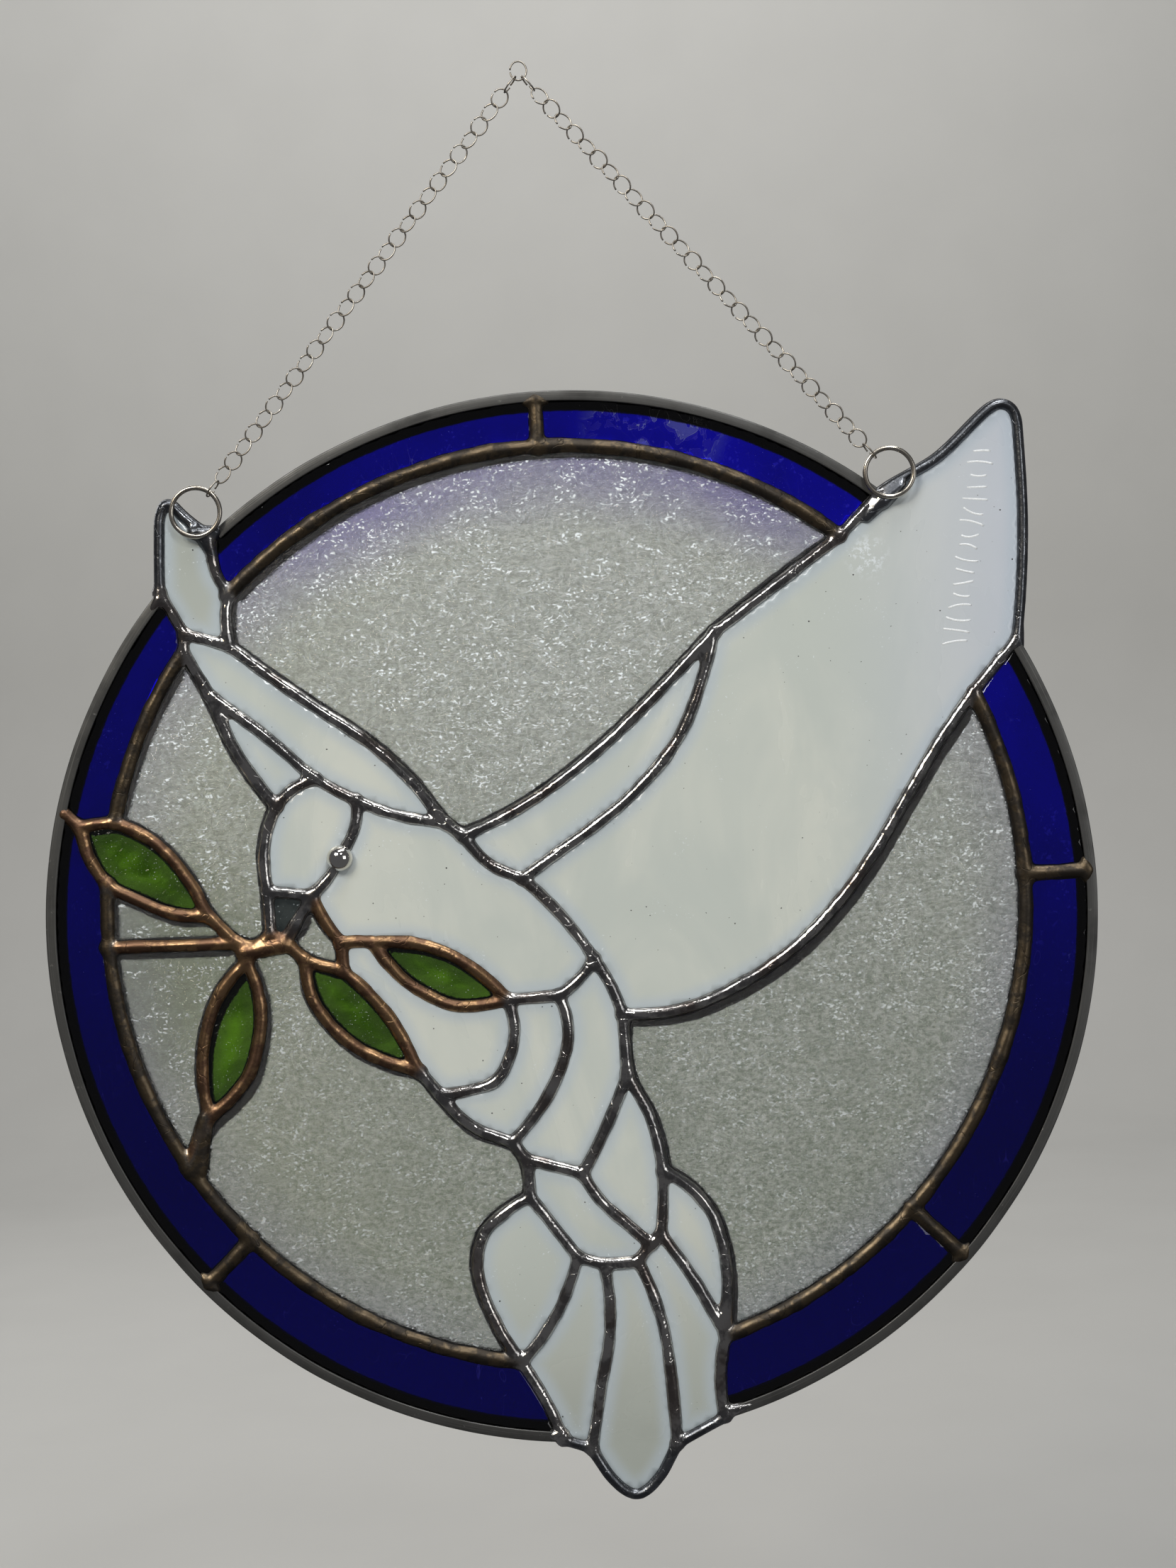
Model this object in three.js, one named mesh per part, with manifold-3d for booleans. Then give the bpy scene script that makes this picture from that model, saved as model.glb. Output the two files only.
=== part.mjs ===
// Stained glass suncatcher: a white bird carrying a leafy branch, inside a cobalt glass ring.
// Millimetres. The panel is laid out flat first: x right, y up, z towards the viewer, with the
// hoop's centre at 0,0. The finished group stands upright, +Z up, facing -Y, with its origin
// inside the top link of the chain, where the hook holds it.
import * as THREE from "three";
import { mergeVertices } from "three/addons/utils/BufferGeometryUtils.js";
import Module from "manifold-3d";

const wasm = await Module();
wasm.setup();

// Driving dimensions
const hoopRadius = 152.5; // outside of the zinc came
const glassThick = 3;
const pitch = 5; // chain, centre to centre under load
const linksPerSide = 30;

// overshoot: how far past the hoop the solder's seams are trimmed
const came = {
  face: 3, wall: 0.8, thick: 5, lip: 0.6, edgeRadius: hoopRadius - 0.5, step: 0.16, overshoot: 1.2,
};
const cames = { // degrees round the hoop
  came_top: { start: 51.2, end: 129.6 },
  came_left: { start: 139.4, end: 265.2 },
  came_right: { start: -75.6, end: 27.8 },
};
const innerRing = { x: -1.4, y: 3.2, radius: 133.4 }; // centre line of the seam inside the blue glass
const seamWidth = { ring: 4.4, bird: 3.7, leaf: 3.9, rim: 3.4, web: 6 };
const bead = { lipHeight: 1.6, ridgeHeight: 3 }; // above the middle of the glass
const foilGap = 0.7; // a pane's edge to the middle of its seam
const clearance = 0.3; // between pieces that are made to fit each other
const eye = { x: -66.2, y: 20.6, z: 1.9, radius: 3.4 };
const hanger = { radius: 7, wire: 0.75, z: 4.1, footRadius: 3.8, footCrown: 2.1, footHeight: 4.4 };
const link = { halfLength: 2.75, halfWidth: 2.35, wire: 0.25, wireCorner: 0.275, roll: 28 };
const hangerAt = { left: [-101.9, 122.9], right: [99, 122.9] };
const footAt = { left: [-101.4, 116.4], right: [98.4, 116.6] };
const chordError = 0.6; // a curve is cut into straight steps no further than this from it

const radians = THREE.MathUtils.degToRad;
const v2 = (x, y) => new THREE.Vector2(x, y);
const onCircle = (x, y, radius, degrees) =>
  v2(x + radius * Math.cos(radians(degrees)), y + radius * Math.sin(radians(degrees)));
const onRing = (degrees) => onCircle(innerRing.x, innerRing.y, innerRing.radius, degrees);
const onHoop = (degrees) => onCircle(0, 0, came.edgeRadius, degrees);

// Joints, where three or more seams meet
const joints = {
  hoopTop: onHoop(90.8),
  hoopRight: onHoop(1.8),
  hoopLowerRight: onHoop(-44.2),
  hoopTailRight: onHoop(-76.3),
  hoopTailLeft: onHoop(-94.2),
  hoopLowerLeft: onHoop(-137.9),
  hoopLeaf: onHoop(165),
  hoopWingLeft: onHoop(138.6),
  hoopHangerLeft: onHoop(130.3),
  hoopHangerRight: onHoop(50.6),
  hoopWingRight: onHoop(28.6),
  ringTop: onRing(90.3),
  ringRight: onRing(0.6),
  ringLowerRight: onRing(-44.6),
  ringTailRight: onRing(-73),
  ringTailLeft: onRing(-98.9),
  ringLowerLeft: onRing(-136.6),
  ringLeafStem: onRing(211.4),
  ringStem: onRing(182),
  ringLeafLow: onRing(174.2),
  ringLeafHigh: onRing(166.4),
  ringWingLeft: onRing(143.2),
  ringWingTip: onRing(134.3),
  ringWingRight: onRing(50.2),
  ringWingUnder: onRing(24.4),
  wingElbow: v2(-107.6, 88),
  leftTipOuter: v2(-113, 121.4),
  leftTipInner: v2(-107.6, 123.8),
  rightTipInner: v2(129, 140),
  rightTipOuter: v2(137.2, 136.4),
  wingNotch: v2(-94.8, 83.6),
  wingFork: v2(-101.4, 70),
  crown: v2(-83.8, 36.8),
  crownFork: v2(-72, 44),
  nape: v2(-60.5, 37),
  shoulder: v2(-34.8, 28.6),
  wingPit: v2(-30.5, 25),
  brow: v2(-87.8, 12.2),
  throat: v2(-75, 10.3),
  beakTip: v2(-87.6, -0.6),
  branchFork: v2(-83.6, -2.6),
  branchLeft: v2(-97.4, -2.4),
  leafHighTip: v2(-105, 5.6),
  leafHighCorner: v2(-141.4, 34),
  stemTop: v2(-95, -7.8),
  leafStemTip: v2(-108.8, -53),
  leafLowTop: v2(-78.4, -8),
  breastFork: v2(-67.4, -4),
  breastLow: v2(-67.2, -12),
  leafBreastLeft: v2(-58.8, -4.2),
  leafBreastRight: v2(-20, -23.2),
  leafLowTip: v2(-46.4, -42.8),
  chestLow: v2(-41.2, -49.6),
  bandTop: v2(-5, -22.8),
  backFork: v2(5.8, -12.8),
  backLow: v2(13, -29.4),
  wingRoot: v2(-13.8, 11.6),
  wingCrook: v2(46, 79.8),
  bandLow: v2(-21, -64.6),
  bellyFork: v2(-17.4, -69.6),
  flankTop: v2(13.4, -46.6),
  bellyMid: v2(-1.2, -74.8),
  thighTop: v2(22, -75.2),
  rumpLeft: v2(-16.8, -80.6),
  rumpMid: v2(-4, -98.8),
  rumpTwo: v2(3.6, -101.4),
  rumpThree: v2(13.4, -101),
  rumpRight: v2(17.4, -96.4),
  thighLeft: v2(20.6, -93.6),
  featherLeft: v2(-3, -154.6),
  featherRight: v2(21.6, -154.6),
};

// A seam runs from one joint to another through the points between them. Seams on the hoop and the
// inner ring follow their circle. A short name says whose width it takes.
const seams = [
  ["hoopTop", "ringTop", "ring"],
  ["hoopRight", "ringRight", "ring"],
  ["hoopLowerRight", "ringLowerRight", "ring"],
  ["hoopLowerLeft", "ringLowerLeft", "ring"],
  // left wing
  ["hoopWingLeft", "leftTipOuter", "rim", [-113.8, 108]],
  ["leftTipOuter", "leftTipInner", "rim", [-110.8, 126.6]],
  ["leftTipInner", "hoopHangerLeft", "rim"],
  ["hoopWingLeft", "wingElbow", "bird", [-112.2, 96]],
  ["wingElbow", "ringWingLeft", "bird"],
  ["hoopHangerLeft", "ringWingTip", "bird", [-98.2, 108]],
  ["ringWingTip", "wingNotch", "bird", [-95.4, 92]],
  ["wingElbow", "wingNotch", "bird"],
  ["ringWingLeft", "wingFork", "bird", [-104.8, 77]],
  ["wingFork", "crown", "bird", [-98.4, 62], [-92.8, 50]],
  ["wingFork", "crownFork", "bird", [-90, 60.8], [-80, 51.8]],
  ["wingNotch", "shoulder", "bird", [-75, 67.6], [-60, 56.9], [-50, 47.8], [-40, 36.6]],
  ["crown", "crownFork", "bird", [-78, 41.8]],
  ["crownFork", "nape", "bird"],
  ["nape", "shoulder", "bird", [-50, 32.4]],
  ["shoulder", "wingPit", "web"],
  // head, beak and branch
  ["crown", "brow", "bird", [-87.4, 28], [-88.4, 18]],
  ["nape", "throat", "bird", [-61.4, 29.4], [-66.2, 20.6], [-70.4, 14.6]],
  ["brow", "throat", "bird", [-81.6, 11.2]],
  ["brow", "beakTip", "bird"],
  ["throat", "branchFork", "bird"],
  ["beakTip", "branchFork", "leaf"],
  ["branchLeft", "beakTip", "web", [-92.4, -3.4]],
  ["branchLeft", "stemTop", "leaf"],
  ["ringStem", "branchLeft", "leaf", [-115, -1.6]],
  ["throat", "breastFork", "leaf", [-71.8, 2.6]],
  ["branchFork", "leafLowTop", "leaf"],
  ["leafLowTop", "breastLow", "leaf"],
  ["breastFork", "breastLow", "leaf"],
  ["breastFork", "leafBreastLeft", "leaf"],
  // leaves
  ["hoopLeaf", "leafHighCorner", "leaf"],
  ["leafHighCorner", "ringLeafHigh", "leaf"],
  ["ringLeafHigh", "leafHighTip", "leaf", [-120, 28.4], [-111, 17.6]],
  ["leafHighCorner", "ringLeafLow", "leaf", [-138.4, 23.6]],
  ["ringLeafLow", "leafHighTip", "leaf", [-122, 10], [-112, 6.2]],
  ["leafHighTip", "branchLeft", "leaf"],
  ["stemTop", "leafStemTip", "leaf", [-103.4, -17], [-109.4, -34]],
  ["stemTop", "leafStemTip", "leaf", [-91.6, -22], [-96.4, -41]],
  ["leafStemTip", "ringLeafStem", "web"],
  ["leafLowTop", "leafLowTip", "leaf", [-75.8, -21.4], [-64, -35]],
  ["breastLow", "leafLowTip", "leaf", [-54.6, -26.4]],
  ["leafBreastLeft", "leafBreastRight", "leaf", [-46, -5.4], [-32, -11.4]],
  ["leafBreastLeft", "leafBreastRight", "leaf", [-49.6, -15.8], [-35, -24.2]],
  // right wing
  ["wingPit", "wingCrook", "bird", [-20, 28.8], [0, 40.2], [20, 55.6]],
  ["wingCrook", "ringWingRight", "bird", [64, 92.4]],
  ["ringWingRight", "hoopHangerRight", "bird"],
  ["hoopHangerRight", "rightTipInner", "rim", [114, 127]],
  ["rightTipInner", "rightTipOuter", "rim", [132.6, 141.6], [136, 140]],
  ["rightTipOuter", "hoopWingRight", "rim", [137.6, 112], [135.2, 90]],
  ["hoopWingRight", "ringWingUnder", "bird"],
  ["ringWingUnder", "backLow", "bird", [106.4, 40.6], [93, 20], [80, 2.4], [60, -15.6], [38, -26.6],
    [25, -29.2]],
  ["wingRoot", "wingCrook", "bird", [0, 20.6], [20, 34.6], [36, 53.4]],
  ["wingPit", "wingRoot", "bird", [-24.6, 17.6]],
  ["wingRoot", "backFork", "bird", [-5.6, 3.6]],
  ["backFork", "backLow", "bird", [9.8, -20]],
  // breast and belly bands
  ["leafBreastRight", "bandTop", "bird"],
  ["bandTop", "backFork", "bird", [1, -18.4]],
  ["leafBreastRight", "chestLow", "bird", [-18.8, -34], [-25, -46.6]],
  ["leafLowTip", "chestLow", "bird"],
  ["bandTop", "bandLow", "bird", [-3.2, -36], [-10, -51.8]],
  ["chestLow", "bandLow", "bird", [-33, -58.8]],
  ["bandLow", "bellyFork", "bird"],
  ["backLow", "flankTop", "bird"],
  ["flankTop", "bellyMid", "bird", [9, -57]],
  ["bellyFork", "bellyMid", "bird"],
  ["flankTop", "thighTop", "bird", [19.4, -60]],
  // rump and tail feathers
  ["bellyFork", "rumpLeft", "bird"],
  ["bellyMid", "rumpRight", "bird", [4, -83.4]],
  ["rumpLeft", "rumpMid", "bird"],
  ["rumpMid", "rumpTwo", "bird"],
  ["rumpTwo", "rumpThree", "bird"],
  ["rumpThree", "rumpRight", "bird"],
  ["rumpRight", "thighLeft", "bird"],
  ["thighTop", "thighLeft", "bird", [20.8, -84]],
  ["thighTop", "ringTailRight", "bird", [33.6, -85], [38.8, -102]],
  ["thighLeft", "ringTailRight", "bird", [30, -108.6]],
  ["rumpLeft", "ringTailLeft", "bird", [-29.4, -88.8], [-33.2, -101], [-28.4, -117.4]],
  ["rumpMid", "ringTailLeft", "bird", [-11, -115]],
  ["rumpTwo", "featherLeft", "bird", [4.4, -118], [0.4, -138]],
  ["rumpThree", "featherRight", "bird", [20, -122]],
  ["ringTailLeft", "hoopTailLeft", "bird", [-15.4, -140.6]],
  ["ringTailRight", "hoopTailRight", "bird", [35.4, -134]],
  ["hoopTailLeft", "featherLeft", "rim"],
  ["featherLeft", "featherRight", "rim", [2.6, -164], [9.2, -169.2], [16, -164]],
  ["featherRight", "hoopTailRight", "rim", [29, -150.6]],
];

const ringOrder = ["ringWingRight", "ringTop", "ringWingTip", null, "ringWingLeft", "ringLeafHigh", null,
  "ringLeafLow", "ringStem", "ringLeafStem", "ringLowerLeft", "ringTailLeft", null,
  "ringTailRight", "ringLowerRight", "ringRight", "ringWingUnder"];
const hoopOrder = ["hoopHangerRight", "hoopTop", "hoopHangerLeft", null, "hoopWingLeft", "hoopLeaf",
  "hoopLowerLeft", "hoopTailLeft", null, "hoopTailRight", "hoopLowerRight", "hoopRight", "hoopWingRight"];

// Every pane: a point well inside it, and its glass
const panes = {
  blue_top_left: ["cobalt", -60, 130],
  blue_top_right: ["cobalt", 45, 136],
  blue_right: ["cobalt", 138, 30],
  blue_lower_right: ["cobalt", 129, -60],
  blue_bottom_right: ["cobalt", 73, -122],
  blue_bottom_left: ["cobalt", -66, -124],
  blue_lower_left: ["cobalt", -136, -42],
  blue_left: ["cobalt", -130, 62],
  clear_top: ["clear", 0, 100],
  clear_upper_left: ["clear", -105, 40],
  clear_by_stem: ["clear", -125, 5],
  clear_lower_left: ["clear", -118, -30],
  clear_bottom_left: ["clear", -70, -80],
  clear_right: ["clear", 80, -60],
  clear_by_beak: ["clear", -76, 0],
  left_wing_tip: ["opal", -107, 105],
  left_wing_upper: ["opal", -75, 60],
  left_wing_lower: ["opal", -88, 50],
  head: ["opal", -75, 28],
  body: ["opal", -40, 10],
  right_wing_lead: ["opal", 10, 40],
  right_wing: ["opal", 70, 50],
  chest: ["opal", -35, -35],
  belly_band_front: ["opal", -12, -40],
  belly_band_back: ["opal", 5, -45],
  flank: ["opal", 13, -70],
  rump: ["opal", 2, -92],
  thigh_feather: ["opal", 32, -95],
  tail_feather_1: ["opal", -20, -105],
  tail_feather_2: ["opal", -6, -130],
  tail_feather_3: ["opal", 10, -135],
  tail_feather_4: ["opal", 28, -130],
  beak: ["slate", -84.5, 6.5],
  leaf_upper: ["green", -120, 20],
  leaf_by_stem: ["green", -100, -35],
  leaf_lower: ["green", -62, -28],
  leaf_breast: ["green", -40, -14],
};

const material = (color, roughness, metalness, opacity = 1) =>
  new THREE.MeshStandardMaterial({ color, roughness, metalness, opacity, transparent: opacity < 1 });
const looks = {
  cobalt: () => material(0x0a0f86, 0.12, 0, 0.85),
  clear: () => material(0xd9e2dc, 0.25, 0, 0.35),
  opal: () => material(0xdfe6e6, 0.15, 0),
  green: () => material(0x3f7a12, 0.2, 0, 0.8),
  slate: () => material(0x2c3438, 0.2, 0, 0.9),
  solder: () => material(0x8a8781, 0.35, 0.9),
  zinc: () => material(0x5a5c58, 0.5, 0.85),
  wire: () => material(0xa39c8a, 0.35, 0.95),
};

// A plane curve as a path in space, for extruding along
class FlatPath extends THREE.Curve {
  constructor(curve) {
    super();
    this.curve = curve;
  }

  getPoint(t, target = new THREE.Vector3()) {
    const { x, y } = this.curve.getPoint(t);
    return target.set(x, y, 0);
  }
}

// A closed geometry as a solid that can be joined and cut, and back again
function toSolid(geometry) {
  const bare = geometry.clone();
  bare.deleteAttribute("normal");
  bare.deleteAttribute("uv");
  const merged = mergeVertices(bare, 1e-4);
  return new wasm.Manifold(new wasm.Mesh({
    numProp: 3,
    vertProperties: new Float32Array(merged.attributes.position.array),
    triVerts: new Uint32Array(merged.index.array),
  }));
}

function toGeometry(solid) {
  const mesh = solid.getMesh();
  const geometry = new THREE.BufferGeometry();
  geometry.setAttribute("position", new THREE.BufferAttribute(mesh.vertProperties, 3));
  geometry.setIndex(new THREE.BufferAttribute(mesh.triVerts, 1));
  return geometry;
}

const join = (solids) => solids.reduce((all, solid) => all.add(solid));

// The fewest equal steps that keep the chords within chordError of the curve
function flatten(curve) {
  for (let steps = 1; ; steps += 1) {
    const points = curve.getSpacedPoints(steps);
    const sags = points.slice(1).map((end, i) => {
      const along = end.clone().sub(points[i]).normalize();
      return Math.abs(along.cross(curve.getPointAt((i + 0.5) / steps).sub(points[i])));
    });
    if (Math.max(...sags) < chordError) return points;
  }
}

const makeLine = (from, to, kind, curve) => ({ from, to, kind, curve, points: flatten(curve) });

function seamLine([from, to, kind, ...between]) {
  const through = [joints[from], ...between.map(([x, y]) => v2(x, y)), joints[to]];
  const curve = between.length ? new THREE.SplineCurve(through) : new THREE.LineCurve(...through);
  return makeLine(from, to, kind, curve);
}

// The stretches of a circle between joints named in anticlockwise order; null marks a break
function circleLines(order, { x, y, radius }, kind) {
  const angleOf = (name) => Math.atan2(joints[name].y - y, joints[name].x - x);
  return order.slice(1).flatMap((to, i) => {
    const from = order[i];
    if (!from || !to) return [];
    const start = angleOf(from);
    const turn = (angleOf(to) - start + 2 * Math.PI) % (2 * Math.PI);
    return [makeLine(from, to, kind, new THREE.EllipseCurve(x, y, radius, radius, start, start + turn))];
  });
}

const lines = [
  ...seams.map(seamLine),
  ...circleLines(ringOrder, innerRing, "ring"),
  ...circleLines(hoopOrder, { x: 0, y: 0, radius: came.edgeRadius }, "hoop"),
];

// Walks round every cell of the leading: at each joint it takes the next line clockwise
function traceCells() {
  const sides = lines.flatMap(({ from, to, points }) => [
    { from, to, points },
    { from: to, to: from, points: [...points].reverse() },
  ]);
  sides.forEach((side, i) => {
    side.back = sides[i % 2 ? i - 1 : i + 1];
    side.heading = side.points[1].clone().sub(side.points[0]).angle();
  });
  const nextSide = ({ to, back }) => {
    const turn = (side) => (back.heading - side.heading + 4 * Math.PI) % (2 * Math.PI);
    const leaving = sides.filter((side) => side.from === to && side !== back);
    return leaving.sort((a, b) => turn(a) - turn(b))[0];
  };
  const outlines = sides.map((first) => {
    const outline = [];
    for (let side = first; !side.seen; side = nextSide(side)) {
      side.seen = true;
      outline.push(...side.points.slice(0, -1));
    }
    return outline;
  });
  return outlines.filter((outline) => outline.length > 2 && THREE.ShapeUtils.area(outline) > 0);
}

function contains(outline, x, y) {
  const crossings = outline.filter((a, i) => {
    const b = outline[(i + 1) % outline.length];
    return a.y > y !== b.y > y && x < ((b.x - a.x) * (y - a.y)) / (b.y - a.y) + a.x;
  });
  return crossings.length % 2 === 1;
}

// The outline moved in by the same distance all round, its corners kept sharp
function inset(outline, distance) {
  return outline.map((corner, i) => {
    const before = outline[(i + outline.length - 1) % outline.length];
    const after = outline[(i + 1) % outline.length];
    const arrive = corner.clone().sub(before).normalize();
    const leave = after.clone().sub(corner).normalize();
    const inward = v2(-arrive.y - leave.y, arrive.x + leave.x).normalize();
    return corner.clone().addScaledVector(inward, distance / inward.dot(v2(-arrive.y, arrive.x)));
  });
}

function plate(outline, thickness) {
  const shape = new THREE.Shape(outline);
  const geometry = new THREE.ExtrudeGeometry(shape, { depth: thickness, bevelEnabled: false });
  return geometry.translate(0, 0, -thickness / 2);
}

// Extrudes a section along a plane curve. Section x is height, section y is to the left of travel.
function sweep(section, curve, steps) {
  const points = section.map(([height, left]) => v2(-height, left));
  const extrudePath = new FlatPath(curve);
  return new THREE.ExtrudeGeometry(new THREE.Shape(points), { steps, extrudePath });
}

// Solder: a ridged bead on both faces along a seam, and a rounded pool at a joint
function seamGeometry({ curve, points, kind }) {
  const half = seamWidth[kind] / 2;
  const { ridgeHeight: ridge, lipHeight: lip } = bead;
  const section = [[ridge, 0], [lip, half], [-lip, half], [-ridge, 0], [-lip, -half], [lip, -half]];
  return sweep(section, curve, points.length - 1);
}

function turned(profile, sides) {
  const geometry = new THREE.LatheGeometry(profile.map(([radius, height]) => v2(radius, height)), sides);
  return geometry.rotateX(Math.PI / 2);
}

function poolGeometry(name) {
  const kinds = lines.filter(({ from, to }) => from === name || to === name).map(({ kind }) => kind);
  const radius = Math.max(...kinds.map((kind) => seamWidth[kind])) / 2;
  const { ridgeHeight: ridge, lipHeight: lip } = bead;
  const profile = [[0, -ridge], [radius, -lip], [radius, lip], [0, ridge]];
  return turned(profile, 6).translate(joints[name].x, joints[name].y, 0);
}

// Zinc came: a U channel open towards the middle, bent along part of the hoop
function cameGeometry({ start, end }) {
  const { face, wall, lip } = came;
  const half = came.thick / 2;
  const inside = half - lip;
  const section = [[-half, 0], [half, 0], [half, face], [inside, face], [inside, wall], [-inside, wall],
    [-inside, face], [-half, face]];
  const arc = new THREE.EllipseCurve(0, 0, hoopRadius, hoopRadius, radians(start), radians(end));
  return sweep(section, arc, Math.ceil(radians(end - start) / came.step));
}

// The room that a stretch of came takes out of the solder
function cameRoom({ start, end }) {
  const slack = THREE.MathUtils.radToDeg(clearance / hoopRadius);
  const height = bead.ridgeHeight + clearance;
  const outer = -came.overshoot;
  const inner = came.face + clearance;
  const section = [[-height, outer], [height, outer], [height, inner], [-height, inner]];
  const [first, last] = [radians(start - slack), radians(end + slack)];
  const arc = new THREE.EllipseCurve(0, 0, hoopRadius, hoopRadius, first, last);
  return sweep(section, arc, Math.ceil(radians(end - start) / came.step));
}

const ringGeometry = ([x, y], wire) =>
  new THREE.TorusGeometry(hanger.radius, wire, 5, 18).translate(x, y, hanger.z);

// A mound of solder that a hanging ring is bedded in
function footGeometry([x, y]) {
  const { footRadius: radius, footCrown: crown, footHeight: height } = hanger;
  const { ridgeHeight: ridge, lipHeight: lip } = bead;
  const profile = [[0, -ridge], [radius, -lip], [radius, lip], [crown, height], [0, height]];
  return turned(profile, 8).translate(x, y, 0);
}

// One link of the chain, lying along x: an oval with six sides, its wire cut to a triangle
function linkGeometry() {
  const { halfLength, halfWidth, wireCorner: corner } = link;
  const profile = [0, 1, 2, 3].map((i) => {
    const angle = (i % 3) * radians(120) + Math.PI;
    return [halfWidth + corner * Math.cos(angle), corner * Math.sin(angle)];
  });
  const geometry = turned(profile, 6).rotateZ(Math.PI / 2);
  return geometry.scale(halfLength / halfWidth, 1, 1);
}

// A run of the chain along x, from a hanging ring's centre; its links touch and are rolled in turn
function runGeometry() {
  const places = Array.from({ length: linksPerSide }, (_, i) => {
    const turnedOn = i === 0 || i === linksPerSide - 1;
    const roll = turnedOn ? 90 : link.roll * (i % 2 ? 1 : -1);
    return linkGeometry().rotateX(radians(roll)).translate(firstLink + i * pitch, 0, 0);
  });
  return toGeometry(join(places.map(toSolid)));
}

// The chain hangs as two straight runs that meet in the top link
const ringGrip = hanger.wire + link.wire + clearance; // ring wire to link wire, centre to centre
const topGrip = 2 * link.wire + clearance;
const gripAngle = radians(35); // where the runs hold the top link, round from its lowest point
const firstLink = hanger.radius - ringGrip + link.halfLength;
const runLength = firstLink + (linksPerSide - 1) * pitch + link.halfLength - topGrip;
const middle = (hangerAt.left[0] + hangerAt.right[0]) / 2;
const halfSpan = (hangerAt.right[0] - hangerAt.left[0]) / 2;
const slope = Math.acos((halfSpan - link.halfWidth * Math.sin(gripAngle)) / runLength);
const topLink = hangerAt.left[1] + runLength * Math.sin(slope) + link.halfLength * Math.cos(gripAngle);
const hookHeight = topLink + link.halfLength - link.wire;

// The solder network: every seam and joint, the eye and the feet of the hanging rings, less the
// room for the glass, the came and the rings
function solderGeometry(outlines) {
  const seamsOnly = lines.filter(({ kind }) => kind !== "hoop");
  const poolJoints = Object.keys(joints).filter((name) => !name.startsWith("hoop"));
  const ball = new THREE.SphereGeometry(eye.radius, 10, 6).rotateX(Math.PI / 2);
  ball.translate(eye.x, eye.y, eye.z);
  const solder = [
    ...seamsOnly.map(seamGeometry),
    ...poolJoints.map(poolGeometry),
    ...Object.values(footAt).map(footGeometry),
    ball,
  ];
  const room = [
    ...outlines.map((outline) => plate(inset(outline, foilGap - clearance), glassThick + 2 * clearance)),
    ...Object.values(cames).map(cameRoom),
    ...Object.values(hangerAt).map((centre) => ringGeometry(centre, hanger.wire + clearance)),
  ];
  return toGeometry(join(solder.map(toSolid)).subtract(join(room.map(toSolid))));
}

const flat = new THREE.Group();

function addPiece(name, geometry, look) {
  const mesh = new THREE.Mesh(geometry, looks[look]());
  mesh.name = name;
  flat.add(mesh);
  return mesh;
}

const cells = traceCells();
Object.entries(panes).forEach(([name, [look, x, y]]) => {
  const outline = cells.find((cell) => contains(cell, x, y));
  addPiece(name, plate(inset(outline, foilGap), glassThick), look);
});
addPiece("solder_seams", solderGeometry(cells), "solder");
Object.entries(cames).forEach(([name, arc]) => addPiece(name, cameGeometry(arc), "zinc"));
Object.entries(hangerAt).forEach(([side, centre]) => {
  addPiece(`hanging_ring_${side}`, ringGeometry(centre, hanger.wire), "wire");
  const run = addPiece(`chain_${side}`, runGeometry(), "wire");
  run.position.set(centre[0], centre[1], hanger.z);
  run.rotation.z = side === "left" ? slope : Math.PI - slope;
});
const topMesh = addPiece("chain_top_link", linkGeometry(), "wire");
topMesh.position.set(middle, topLink, hanger.z);
topMesh.rotation.z = Math.PI / 2;

flat.position.set(-middle, -hookHeight, -hanger.z);
const suncatcher = new THREE.Group();
suncatcher.add(flat);
suncatcher.rotation.x = Math.PI / 2;

export default suncatcher;
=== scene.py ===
import math
import random

import bpy
import numpy as np
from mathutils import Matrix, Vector, kdtree, noise
from mathutils.geometry import delaunay_2d_cdt


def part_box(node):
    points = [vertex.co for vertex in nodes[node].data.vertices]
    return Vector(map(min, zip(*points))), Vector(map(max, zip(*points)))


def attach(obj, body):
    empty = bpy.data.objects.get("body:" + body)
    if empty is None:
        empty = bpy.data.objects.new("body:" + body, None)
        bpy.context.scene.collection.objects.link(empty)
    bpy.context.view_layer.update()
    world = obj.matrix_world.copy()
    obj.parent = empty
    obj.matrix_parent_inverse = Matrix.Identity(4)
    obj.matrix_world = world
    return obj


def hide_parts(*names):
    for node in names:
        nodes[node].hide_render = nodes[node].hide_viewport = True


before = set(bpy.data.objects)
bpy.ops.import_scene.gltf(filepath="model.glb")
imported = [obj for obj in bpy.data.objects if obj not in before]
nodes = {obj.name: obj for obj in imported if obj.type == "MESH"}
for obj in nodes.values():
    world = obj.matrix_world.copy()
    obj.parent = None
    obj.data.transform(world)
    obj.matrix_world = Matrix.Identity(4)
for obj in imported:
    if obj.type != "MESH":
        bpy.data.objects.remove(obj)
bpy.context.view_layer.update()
mm = 0.001
tiny = 0.001 * mm
dice = random.Random(31)


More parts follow.
